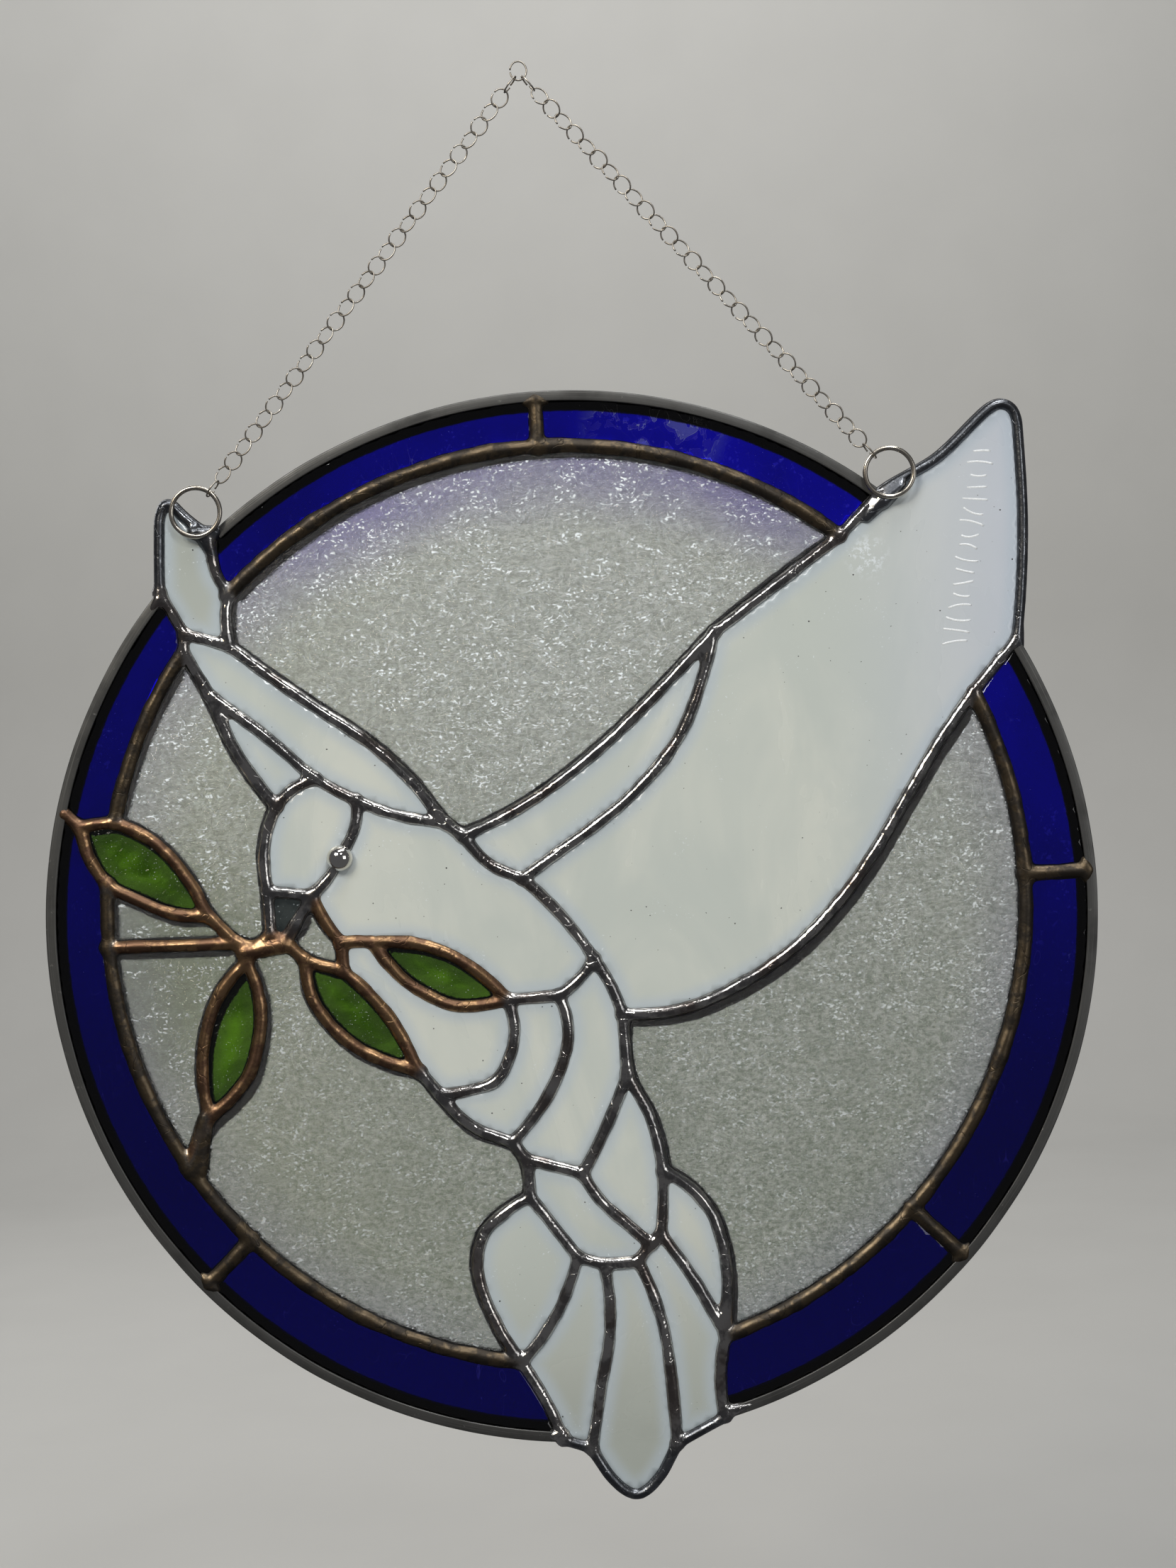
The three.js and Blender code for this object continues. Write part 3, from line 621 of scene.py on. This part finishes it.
def makePane(name, material):
    slot, spacing, ripple, length = kindOf(name)
    loop, sharp = outlines[name]
    tree, outs = treeOf(loop), normalsOf(loop, sharp)
    low, high = loop.min(axis=0), loop.max(axis=0)
    spacing *= mm
    # a grid of even triangles
    rows = np.arange(low[1], high[1], spacing * math.sqrt(0.75))
    grid = np.array([(x + (i % 2) * spacing / 2, z)
                     for i, z in enumerate(rows) for x in np.arange(low[0], high[0], spacing)])
    grid = grid[insideLoop(grid, loop)]
    apart = np.array([tree.find((x, 0, z))[2] for x, z in grid])
    grid = grid[apart > pane["apart"] * spacing]
    points = [Vector(p) for p in np.vstack([loop, grid])]
    flat = delaunay_2d_cdt(points, [], [list(range(len(loop)))], 1, pane["merge"])
    flatPoints, triangles = flat[0], flat[2]
    count = len(flatPoints)
    seam = pane["clearSeam"] if name.startswith("clear") else pane["seam"]
    border = cameInside if name.startswith("blue") else ringRadius
    smallHeight, smallScale = pane["smallWave"]
    edge, foilAndShadow, rim = [], [], []
    front, back = [], []
    for p in flatPoints:
        index, distance = tree.find((p.x, 0, p.y))[1:]
        out = outs[index]
        heavy = max(0.0, out[0] * pane["shadowFrom"][0] + out[1] * pane["shadowFrom"][1])
        inward = distance / mm - seam
        edge.append(inward)
        # the dark band is the foil, widened by a painted shadow of the bead on the edges that face up and
        # left
        foilAndShadow.append(inward - pane["foilAndShadow"] * (0.35 + 0.65 * heavy) - pane["foilShadow"] * heavy ** 3)
        rim.append((border - radiusAt(p.x, p.y)) / mm)
        fade = min(1.0, distance / (pane["fade"] * mm))
        for side, level, sign in ((front, glassFront, -1), (back, glassBack, 1)):
            at = Vector((p.x, sign * pane["sideShift"], p.y)) / (length * mm)
            wave = noise.noise(at) + smallHeight * noise.noise(at * smallScale)
            side.append((p.x, level + sign * ripple * mm * wave * fade, p.y))
    faces = [tuple(t) for t in triangles] + [tuple(count + i for i in reversed(t)) for t in triangles]
    used = set()
    for t in triangles:
        used.update(zip(t, t[1:] + t[:1]))
    # the walls, along the edges that only one triangle has
    faces += [(a, count + a, count + b, b) for a, b in used if (b, a) not in used]
    mesh = meshOf(name + ".pane", front + back, faces)
    for key, values in (("edge", edge), ("foilAndShadow", foilAndShadow), ("rim", rim)):
        setMark(mesh, key, values + values)
    finishObject(name + ".pane", mesh, material, [name])


# the ring seam's radius: the clear panes reach out to it, but for a few stray corners
clearLoops = np.vstack([outlines[n][0] for n in paneNames if n.startswith("clear")])
ringRadius = np.percentile(np.linalg.norm(clearLoops - hoopCentre, axis=1), pane["ringShare"])
glassMaterials = {"cobalt_glass": cobaltGlass(), "clear_glass": clearGlass(), "opal_glass": opalGlass(),
                  "green_glass": greenGlass(), "slate_glass": slateGlass()}
for name in paneNames:
    makePane(name, glassMaterials[kindOf(name)[0]])
print("panes", len(paneNames))


# the solder: one network of beads, drawn along every seam and melted together

bead = {
    "foilGap": 0.7, "height": 3.0, "sides": 12, "voxel": 0.62, "soften": (0.5, 4), "faces": 190000,
    "meets": 1.6, "beside": 2.0, "underCame": 1.2, "near": 7, "blend": 0.4, "poolStep": 0.7, "poolWeight": 4,
    "leafReach": 2.0, "joint": (1.14, 0.2, 1.02),  # a joint's least size, its chance and its height
    # height and length of the lumps: in the width along a bead, and all over the skin
    "lumps": ((0.10, 8.0), (0.05, 2.6)), "skin": ((0.17, 4.5), (0.05, 1.9)), "rimCalm": 0.85,
    "widths": {"bronze": 4.4, "silver": 3.7, "copper": 3.9, "rim": 3.3},
    # balls of the blob on the came: how far in from the hoop, aside, size and half height. Only
    # a bronze blob has them all.
    "tack": ((2.3, 0.0, 1.05, 3.15), (2.7, -1.6, 0.8, 3.05), (2.7, 1.6, 0.8, 3.05), (3.0, -3.0, 0.5, 2.8),
             (3.0, 3.0, 0.5, 2.8)),
    "branch": {"x": -88.4, "z": -251.6, "reach": 7.6, "half": 3.8},
    # solid solder, each run from one place to another: x, z, radius and half height
    "pools": [
        ((-94.2, -252.4, 2.9, 3.6), (-82.6, -250.9, 3.0, 3.7), "copper"),  # the branch
        ((-107.9, -299.6, 2.6, 3.2), (-112.0, -314.6, 4.4, 3.3), "bronze"),  # foot of the lower stem
        ((-101.6, -130.0, 2.4, 4.2), (-95.4, -130.3, 2.3, 4.0), "rim"),  # under the left ring
        ((-98.2, -131.6, 3.4, 4.2), (-96.8, -136.8, 1.9, 3.2), "rim"),
        ((98.4, -132.4, 2.9, 4.2), (104.4, -128.0, 1.9, 3.6), "rim"),  # under the right ring
        ((96.6, -129.8, 1.6, 3.6), (98.4, -132.6, 2.6, 4.0), "rim"),
        ((97.6, -132.6, 2.7, 4.0), (93.4, -137.0, 1.9, 3.2), "rim"),
        ((38.6, -393.5, 2.4, 3.5), (46.4, -391.3, 0.9, 2.8), "silver"),  # over the ends of the came
        ((-9.6, -397.7, 2.4, 3.5), (-12.8, -397.5, 1.8, 3.2), "silver"),
        ((-113.0, -149.0, 2.2, 3.4), (-115.0, -151.5, 1.3, 3.0), "silver"),
        ((135.8, -176.4, 1.5, 2.7), (137.2, -167.4, 0.5, 1.6), "rim")],
    "eye": {"x": -64.75, "z": -226.75, "y": 2.1, "radius": 3.85, "rings": (24, 40)}}


def finishOf(first, second, x, z):
    pair = {first, second or ""}
    branch = bead["branch"]
    if abs(x / mm - branch["x"]) < branch["reach"] and abs(z / mm - branch["z"]) < branch["half"]:
        return "copper"
    if second is None:
        return "rim"
    if pair == {"beak", "clear_by_beak"}:
        return "silver"
    if (any(n.startswith(("leaf", "clear_by_beak")) for n in pair) or all(n.startswith("clear") for n in pair)
            or pair == {"blue_left", "blue_lower_left"}
            or pair == {"body", "chest"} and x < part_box("leaf_breast")[0].x + bead["leafReach"] * mm):
        return "copper"
    if all(n.startswith(("blue", "clear")) for n in pair):
        return "bronze"
    return "silver"


def lumps(x, z):
    # how much thicker or thinner the bead is here
    at = Vector((x, 0.7, z)) / mm
    return sum((height * noise.noise(at / length) for height, length in bead["lumps"]), 1)


def stepAt(path, i, closed):
    # from the point before to the point after
    before = path[i - 1] if closed or i else path[0]
    return (path[(i + 1) % len(path)] if closed or i < len(path) - 1 else path[-1]) - before


def tubeFaces(count, sides, closed):
    # between each ring of points and the next, and over the ends of an open tube
    faces = []
    for i in range(count if closed else count - 1):
        a, b = i * sides, (i + 1) % count * sides
        faces += [(a + k, a + (k + 1) % sides, b + (k + 1) % sides, b + k) for k in range(sides)]
    if not closed:
        faces.append(tuple(range(sides - 1, -1, -1)))
        faces.append(tuple((count - 1) * sides + k for k in range(sides)))
    return faces


def tubeRings(points, sizes, closed):
    # elliptical rings along a line in the panel's plane, joined into one skin
    verts = []
    for i, ((x, z), (half, high)) in enumerate(zip(points, sizes)):
        step = stepAt(points, i, closed)
        tx, tz = step / max(tiny, np.linalg.norm(step))
        for k in range(bead["sides"]):
            angle = 2 * math.pi * k / bead["sides"]
            out = half * math.cos(angle)
            verts.append((x + tz * out, glassMiddle + high * math.sin(angle), z - tx * out))
    return verts, tubeFaces(len(points), bead["sides"], closed)


def ballRings(x, y, z, radius, half, rows=8, sides=14):
    verts = [(x, y - half, z)]
    for row in range(1, rows):
        across, level = math.sin(math.pi * row / rows), -math.cos(math.pi * row / rows)
        for k in range(sides):
            angle = 2 * math.pi * k / sides
            verts.append((x + radius * across * math.cos(angle), y + half * level,
                          z + radius * across * math.sin(angle)))
    verts.append((x, y + half, z))
    faces, last = [], len(verts) - 1
    for k in range(sides):
        k2 = (k + 1) % sides
        faces.append((0, 1 + k, 1 + k2))
        for row in range(rows - 2):
            a, b = 1 + row * sides, 1 + (row + 1) * sides
            faces.append((a + k, b + k, b + k2, a + k2))
        faces.append((last, last - sides + k2, last - sides + k))
    return verts, faces


def seamLines():
    # each pane's outline moved out to the middle of its seam, where it meets its neighbour's
    grown = {name: loop + normalsOf(loop, sharp) * bead["foilGap"] * mm
             for name, (loop, sharp) in outlines.items()}
    tree, owners = treeOfLines(grown)
    lines = {}
    for name, line in grown.items():
        met = []
        for x, z in line:
            near = [at for at, k, d in tree.find_range((x, 0, z), bead["meets"] * mm) if owners[k] != name]
            near.sort(key=lambda at: (at.x - x) ** 2 + (at.z - z) ** 2)
            met.append(((x + near[0].x) / 2, (z + near[0].z) / 2) if near else (x, z))
        lines[name] = np.array(met)
    return lines


def seamRuns():
    # the seam lines, split where they enter the came
    tree, owners = treeOfLines({name: loop for name, (loop, sharp) in outlines.items()})
    lines = seamLines()
    runs, joints = [], []
    for name in paneNames:
        line, sharp = lines[name], outlines[name][1]
        under = name.startswith(("blue", "leaf"))
        finishes = []
        for x, z in line:
            if under and radiusAt(x, z) > cameInside + bead["underCame"] * mm:
                finishes.append(None)
                continue
            near = tree.find_range((x, 0, z), bead["beside"] * mm)
            others = [owners[k] for at, k, d in near if owners[k] != name]
            finishes.append(finishOf(name, others[0] if others else None, x, z))
        # one odd sample between two alike ones is only a corner's stray reading
        for i in range(len(finishes)):
            beside = (finishes[i - 1], finishes[(i + 1) % len(finishes)])
            if None not in (*beside, finishes[i]) and beside[0] == beside[1]:
                finishes[i] = beside[0]
        joints += [(line[i], finishes[i]) for i in sharp if finishes[i]]
        if None not in finishes:
            runs.append((line, finishes, True))
            continue
        start = finishes.index(None)
        line, finishes = np.roll(line, -start, axis=0), finishes[start:] + finishes[:start]
        run = []
        for point, finish in list(zip(line, finishes)) + [(None, None)]:
            if finish:
                run.append((point, finish))
            elif run:
                if len(run) > 2:
                    runs.append((np.array([p for p, f in run]), [f for p, f in run], False))
                run = []
    return runs, joints


def appliedMesh(piece):
    return bpy.data.meshes.new_from_object(piece.evaluated_get(bpy.context.evaluated_depsgraph_get()))


def buildSolder():
    runs, joints = seamRuns()
    verts, faces, samples = [], [], []

    def halfWidth(finish):
        # the bead's ellipse is as wide as the seam where it leaves the glass
        return bead["widths"][finish] / 2 * mm / math.sqrt(1 - (glassHalf / (bead["height"] * mm)) ** 2)

    def addBall(x, z, radius, half):
        addPart(verts, faces, ballRings(x, glassMiddle, z, radius, half))

    for line, finishes, closed in runs:
        halves = np.array([halfWidth(f) for f in finishes])
        for again in range(3 if closed else 0):
            halves = (np.roll(halves, 1) + halves + np.roll(halves, -1)) / 3
        sizes = []
        for half, point, finish in zip(halves, line, finishes):
            swell = lumps(*point) if finish != "rim" else 1.0
            sizes.append((half * swell, bead["height"] * mm * (0.5 + 0.5 * swell)))
        addPart(verts, faces, tubeRings(line, sizes, closed))
        samples += list(zip(line, finishes))
        if not closed:
            for point, finish in ((line[0], finishes[0]), (line[-1], finishes[-1])):
                # the bead is tacked to the came with a blob that spreads along its face
                out = (point - hoopCentre) / np.linalg.norm(point - hoopCentre)
                side = np.array([-out[1], out[0]])
                for inward, aside, size, high in bead["tack"][:None if finish == "bronze" else 1]:
                    centre = hoopCentre + out * (hoopRadius - inward * mm) + side * aside * mm
                    radius = halfWidth(finish) * size
                    addBall(*centre, radius, high * mm)
                samples.append((centre, finish))
    least, chance, jointHeight = bead["joint"]
    for (x, z), finish in joints:
        radius = halfWidth(finish) * (least + chance * dice.random())
        addBall(x, z, radius, bead["height"] * mm * jointHeight)
    for first, last, finish in bead["pools"]:
        count = max(2, round(math.dist(first[:2], last[:2]) / bead["poolStep"]))
        for i in range(count + 1):
            x, z, radius, half = (np.array(first) + (np.array(last) - first) * i / count) * mm
            addBall(x, z, radius, half)
            samples += [((x, z), finish)] * bead["poolWeight"]
    print("solder drawn", len(verts))

    raw = addObject("raw", meshOf("raw", verts, faces))
    melt = raw.modifiers.new("melt", "REMESH")
    melt.mode, melt.voxel_size = "VOXEL", bead["voxel"] * mm
    soften = raw.modifiers.new("soften", "SMOOTH")
    soften.factor, soften.iterations = bead["soften"]
    melted = appliedMesh(raw)
    raw.modifiers.clear()
    raw.data = melted
    thin = raw.modifiers.new("thin", "DECIMATE")
    thin.ratio = min(1.0, bead["faces"] / (2 * len(melted.polygons)))
    mesh = appliedMesh(raw)
    bpy.data.objects.remove(raw)
    print("solder melted", len(melted.polygons), "thinned", len(mesh.polygons))

    points = np.array([v.co for v in mesh.vertices])
    normals = np.array([v.normal for v in mesh.vertices])
    marks = {key: [] for key in ("copper", "bronze", "rim")}
    tree = treeOf([spot for spot, finish in samples])
    for p in points:
        near = [(samples[i][1], 1 / (d + bead["blend"] * mm) ** 2)
                for at, i, d in tree.find_n((p[0], 0, p[2]), bead["near"])]
        whole = sum(w for f, w in near)
        for key in marks:
            marks[key].append(sum(w for f, w in near if f == key) / whole)
    for i, p in enumerate(points):
        at = Vector(p) / mm
        swell = sum(height * noise.noise(at / length) for height, length in bead["skin"])
        points[i] = p + normals[i] * swell * (1 - bead["rimCalm"] * marks["rim"][i]) * mm
    eye = bead["eye"]
    ball = ballRings(*(eye[key] * mm for key in ("x", "y", "z", "radius", "radius")), *eye["rings"])
    allPoints, allFaces = list(points), [tuple(p.vertices) for p in mesh.polygons]
    addPart(allPoints, allFaces, ball)
    whole = meshOf("solder_network", allPoints, allFaces)
    for key, values in marks.items():
        setMark(whole, key, values + [0.0] * len(ball[0]))
    setMark(whole, "polish", [0.0] * len(points) + [1.0] * len(ball[0]))
    finishObject("solder_network", whole, solderMetal(), ["solder_seams"])


buildSolder()


# the zinc came: a channel bent round the hoop in three lengths


def quarterRound(x, y, radius, start):
    angles = [math.radians(start + 90 * part / 4) for part in range(5)]
    return [(x + radius * math.cos(angle), y + radius * math.sin(angle)) for angle in angles]


def cameSection():
    # radius outwards from the lip, and depth, as one closed outline in millimetres
    y0, y1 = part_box("came_left")[0].y / mm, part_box("came_left")[1].y / mm
    outer, inner = hoopRadius / mm, cameInside / mm
    wall, lip, r, small = came["wall"], came["lip"], came["round"], came["lipRound"]
    section = quarterRound(outer - r, y0 + r, r, -90) + quarterRound(outer - r, y1 - r, r, 0)
    section += quarterRound(inner + small, y1 - small, small, 90)
    section += [(inner, y1 - lip), (outer - wall, y1 - lip), (outer - wall, y0 + lip), (inner, y0 + lip)]
    return section + quarterRound(inner + small, y0 + small, small, 180)


def makeCame(name, material):
    points = verticesOf(name)[:, [0, 2]] - hoopCentre
    angles = np.sort(np.degrees(np.arctan2(points[:, 1], points[:, 0])))
    gaps = np.diff(np.append(angles, angles[0] + 360))
    widest = int(gaps.argmax())
    start, end = angles[(widest + 1) % len(angles)], angles[widest]
    end += 360 if end < start else 0
    section = cameSection()
    wobbleHeight, wobbleScale = came["wobble"]
    steps = round((end - start) / came["step"])
    verts, lie = [], []
    for i in range(steps + 1):
        angle = math.radians(start + (end - start) * i / steps)
        wobble = wobbleHeight * noise.noise(
            Vector((math.cos(angle) * wobbleScale, 1.3, math.sin(angle) * wobbleScale)))
        for radius, y in section:
            r = (radius + wobble) * mm
            verts.append((hoopCentre[0] + r * math.cos(angle), y * mm, hoopCentre[1] + r * math.sin(angle)))
            lie.append((angle * hoopRadius / mm, radius, y))
    mesh = meshOf(name + ".channel", verts, tubeFaces(steps + 1, len(section), False))
    spread = mesh.attributes.new("lie", "FLOAT_VECTOR", "POINT")
    spread.data.foreach_set("vector", np.array(lie, dtype=np.float32).ravel())
    finishObject(name + ".channel", mesh, material, [name])
    mesh.set_sharp_from_angle(angle=math.radians(came["creaseTurn"]))


zincMaterial = zincCame()
for name in came["nodes"]:
    makeCame(name, zincMaterial)
print("came")


# wire: the two hanging rings and the chain

chain = {"pitch": 5.0, "links": 30, "halfLength": 2.75, "halfWidth": 2.35, "wire": 0.25, "roll": 28.0,
         "steps": 36, "sides": 8, "gap": 7.0, "lap": 0.14, "sway": 5, "narrower": (-0.04, 0.02)}


def tubeAlong(path, radius, sides, closed):
    # a round wire along points in space
    verts, side = [], None
    for i, point in enumerate(path):
        along = stepAt(path, i, closed).normalized()
        if side is None:
            side = along.orthogonal()
        side = (side - along * side.dot(along)).normalized()
        other = along.cross(side)
        for k in range(sides):
            angle = 2 * math.pi * k / sides
            verts.append(point + (side * math.cos(angle) + other * math.sin(angle)) * radius)
    return verts, tubeFaces(len(path), sides, closed)


def linkPath(centre, along, across, wobble):
    # an oval bent from wire, its two ends nearly meeting at one side
    steps, gap = chain["steps"], math.radians(chain["gap"])
    away = along.cross(across)
    path = []
    for i in range(steps):
        part = i / (steps - 1)
        angle = math.pi / 2 + gap + (2 * math.pi - 2 * gap) * part
        path.append(centre + along * chain["halfLength"] * mm * math.cos(angle)
                    + across * chain["halfWidth"] * (1 + wobble) * mm * math.sin(angle)
                    + away * chain["lap"] * mm * (2 * part - 1) ** 5)
    return path


def makeChain(name, node, centres, along, rolls):
    verts, faces = [], []
    flat = Vector((0, 1, 0))
    upright = along.cross(flat).normalized()
    for centre, roll in zip(centres, rolls):
        angle = math.radians(roll + dice.uniform(-chain["sway"], chain["sway"]))
        across = (upright * math.cos(angle) + flat * math.sin(angle)).normalized()
        path = linkPath(centre, along, across, dice.uniform(*chain["narrower"]))
        addPart(verts, faces, tubeAlong(path, chain["wire"] * mm, chain["sides"], False))
    finishObject(name, meshOf(name, verts, faces), chainMaterial, [node])


ring = {"steps": 96, "sides": 16}


def makeRing(name, material):
    low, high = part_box(name)
    centre = (low + high) / 2
    radius = (high.y - low.y) / 2
    major = (high.x - low.x) / 2 - radius
    angles = [2 * math.pi * i / ring["steps"] for i in range(ring["steps"])]
    path = [centre + Vector((math.cos(angle), 0, math.sin(angle))) * major for angle in angles]
    verts, faces = tubeAlong(path, radius, ring["sides"], True)
    finishObject(name + ".wire", meshOf(name, verts, faces), material, [name])


ringMaterial = wireMetal("ringWire", 0.05, 0.16)
chainMaterial = wireMetal("chainWire", 0.45, 0.26)
for name in ("hanging_ring_left", "hanging_ring_right"):
    makeRing(name, ringMaterial)
for name in ("chain_left", "chain_right"):
    points = verticesOf(name)
    middle = Vector(points.mean(axis=0))
    along = Vector(np.linalg.svd(points - points.mean(axis=0), full_matrices=False)[2][0])
    along = along if along.z > 0 else -along
    last = chain["links"] - 1
    middles = [middle + along * chain["pitch"] * mm * (i - last / 2) for i in range(last + 1)]
    rolls = [90 if i in (0, last) else chain["roll"] * (1 if i % 2 else -1) for i in range(last + 1)]
    makeChain(name + ".links", name, middles, along, rolls)
low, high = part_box("chain_top_link")
makeChain("chain_top_link.wire", "chain_top_link", [(low + high) / 2], Vector((0, 0, 1)), [0])
print("rings and chain")


# a row of shallow strokes scratched along the right wing's edge

scratches = {"start": (-21.0, -68.0), "end": (-10.0, -13.0), "count": 17, "tall": 8.0, "deep": 0.05,
             "width": 0.30, "lean": (-0.25, 0.35), "bow": 0.8, "steps": 8, "sides": 6}


def makeScratches():
    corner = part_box("right_wing")[1]
    start, end = (Vector((corner.x + scratches[key][0] * mm, 0, corner.z + scratches[key][1] * mm))
                  for key in ("start", "end"))
    along = (end - start).normalized()
    across = Vector((along.z, 0, -along.x))
    verts, faces = [], []
    for i in range(scratches["count"]):
        base = start.lerp(end, i / (scratches["count"] - 1))
        tall = scratches["tall"] * (0.55 + 0.45 * dice.random()) * mm
        lean = dice.uniform(*scratches["lean"])
        bow = dice.uniform(-scratches["bow"], scratches["bow"]) * mm
        path = []
        for k in range(scratches["steps"] + 1):
            part = k / scratches["steps"] - 0.5
            point = base + across * tall * part + along * (lean * tall * part + bow * (1 - 4 * part * part))
            point.y = glassFront - scratches["deep"] * mm * 0.3
            path.append(point)
        addPart(verts, faces, tubeAlong(path, scratches["width"] * mm, scratches["sides"], False))
    # each stroke is pressed nearly flat against the glass
    for p in verts:
        p.y = glassFront + (p.y - glassFront) * scratches["deep"] / scratches["width"]
    finishObject("wing_scratches", meshOf("wing_scratches", verts, faces), frostedScratch())


makeScratches()

# the studio

studio = {"floor": -0.62, "wall": 2.3, "sweep": 0.6, "half": 3.2, "tall": 3.0, "steps": 16,
          "pale": (0.54, 0.535, 0.51), "dim": (0.5238, 0.51895, 0.4947), "middle": (0.0, 0.0, -0.24),
          "air": (0.46, 0.46, 0.445), "mirrored": (0.09, 0.09, 0.095)}  # the air as seen, and as reflected
lamps = {
    "key": {"at": (-0.75, -1.15, 0.85), "size": (0.8, 0.5), "watts": 13.0},
    "spark": {"at": (0.30, -0.95, 0.62), "size": (0.16, 0.12), "watts": 3.0},
    "warm": {"at": (-0.62, -0.95, 0.42), "size": (0.14, 0.14), "watts": 2.2, "colour": (1.0, 0.84, 0.58)},
    "fill": {"at": (1.3, -1.3, -0.05), "size": (0.8, 0.8), "watts": 4.0},
    "top": {"at": (0.25, -0.35, 1.25), "size": (1.2, 0.3), "watts": 9.0},
    "back": {"at": (0.0, 1.2, 1.5), "size": (2.0, 0.8), "watts": 20.0},
    "rear": {"at": (-0.9, 1.1, 0.5), "size": (0.8, 0.8), "watts": 4.0}}
shot = {"tall": 0.455, "lens": 50.0, "sensor": 36.0, "aim": (0.0083, -0.2094), "roll": 3.3,
        "nearest": 0.01, "furthest": 20.0}


def makeStage():
    floor, wall, sweep, half = (studio[key] for key in ("floor", "wall", "sweep", "half"))
    profile = [(-half, floor), (wall - sweep, floor)]
    for i in range(1, studio["steps"] + 1):
        angle = math.pi / 2 * i / studio["steps"]
        profile.append((wall - sweep + sweep * math.sin(angle), floor + sweep * (1 - math.cos(angle))))
    profile.append((wall, floor + studio["tall"]))
    verts = [(x, y, z) for y, z in profile for x in (-half, half)]
    faces = [(2 * i, 2 * i + 1, 2 * i + 3, 2 * i + 2) for i in range(len(profile) - 1)]
    mesh = meshOf("paleSweep", verts, faces)
    material, start, place = startMaterial("paleSweep")
    tone = place.noise(0.01, 3.0).rise(0.2, 0.8).tint(studio["pale"], studio["dim"])
    endMaterial(start, {"Base Color": tone, "Roughness": 0.9})
    mesh.materials.append(material)
    backdrop = addObject("paleSweep", mesh)
    backdrop.visible_glossy = False


def makeLamps():
    for name, lamp in lamps.items():
        light = bpy.data.lights.new(name, "AREA")
        light.shape = "RECTANGLE"
        light.size, light.size_y = lamp["size"]
        light.energy = lamp["watts"]
        light.color = lamp.get("colour", (1, 1, 1))
        body = addObject(name, light)
        body.location = lamp["at"]
        aim = Vector((0, studio["wall"], 0) if name == "back" else studio["middle"])
        body.rotation_euler = (aim - body.location).to_track_quat("-Z", "Y").to_euler()
    world = bpy.data.worlds.new("studioAir")
    bpy.context.scene.world = world
    world.use_nodes = True
    world.node_tree.nodes.clear()
    start = Wire(world.node_tree)
    seen = start.node("ShaderNodeLightPath", None, None, "Is Camera Ray")
    through = start.node("ShaderNodeLightPath", None, None, "Is Transmission Ray")
    colour = seen.greater(through).tint(studio["air"], studio["mirrored"])
    air = start.node("ShaderNodeBackground", None, {"Color": colour, "Strength": 1.0})
    start.node("ShaderNodeOutputWorld", None, {"Surface": air})


def makeCamera():
    data = bpy.data.cameras.new("camera")
    data.sensor_width, data.lens = shot["sensor"], shot["lens"]
    data.clip_start, data.clip_end = shot["nearest"], shot["furthest"]
    camera = addObject("camera", data)
    distance = shot["tall"] * shot["lens"] / shot["sensor"]
    camera.location = (shot["aim"][0], glassFront - distance, shot["aim"][1])
    camera.rotation_euler = (math.radians(90), math.radians(shot["roll"]), 0)
    bpy.context.scene.camera = camera


makeStage()
makeLamps()
makeCamera()
bpy.context.scene.view_settings.view_transform = "Standard"
print("studio")
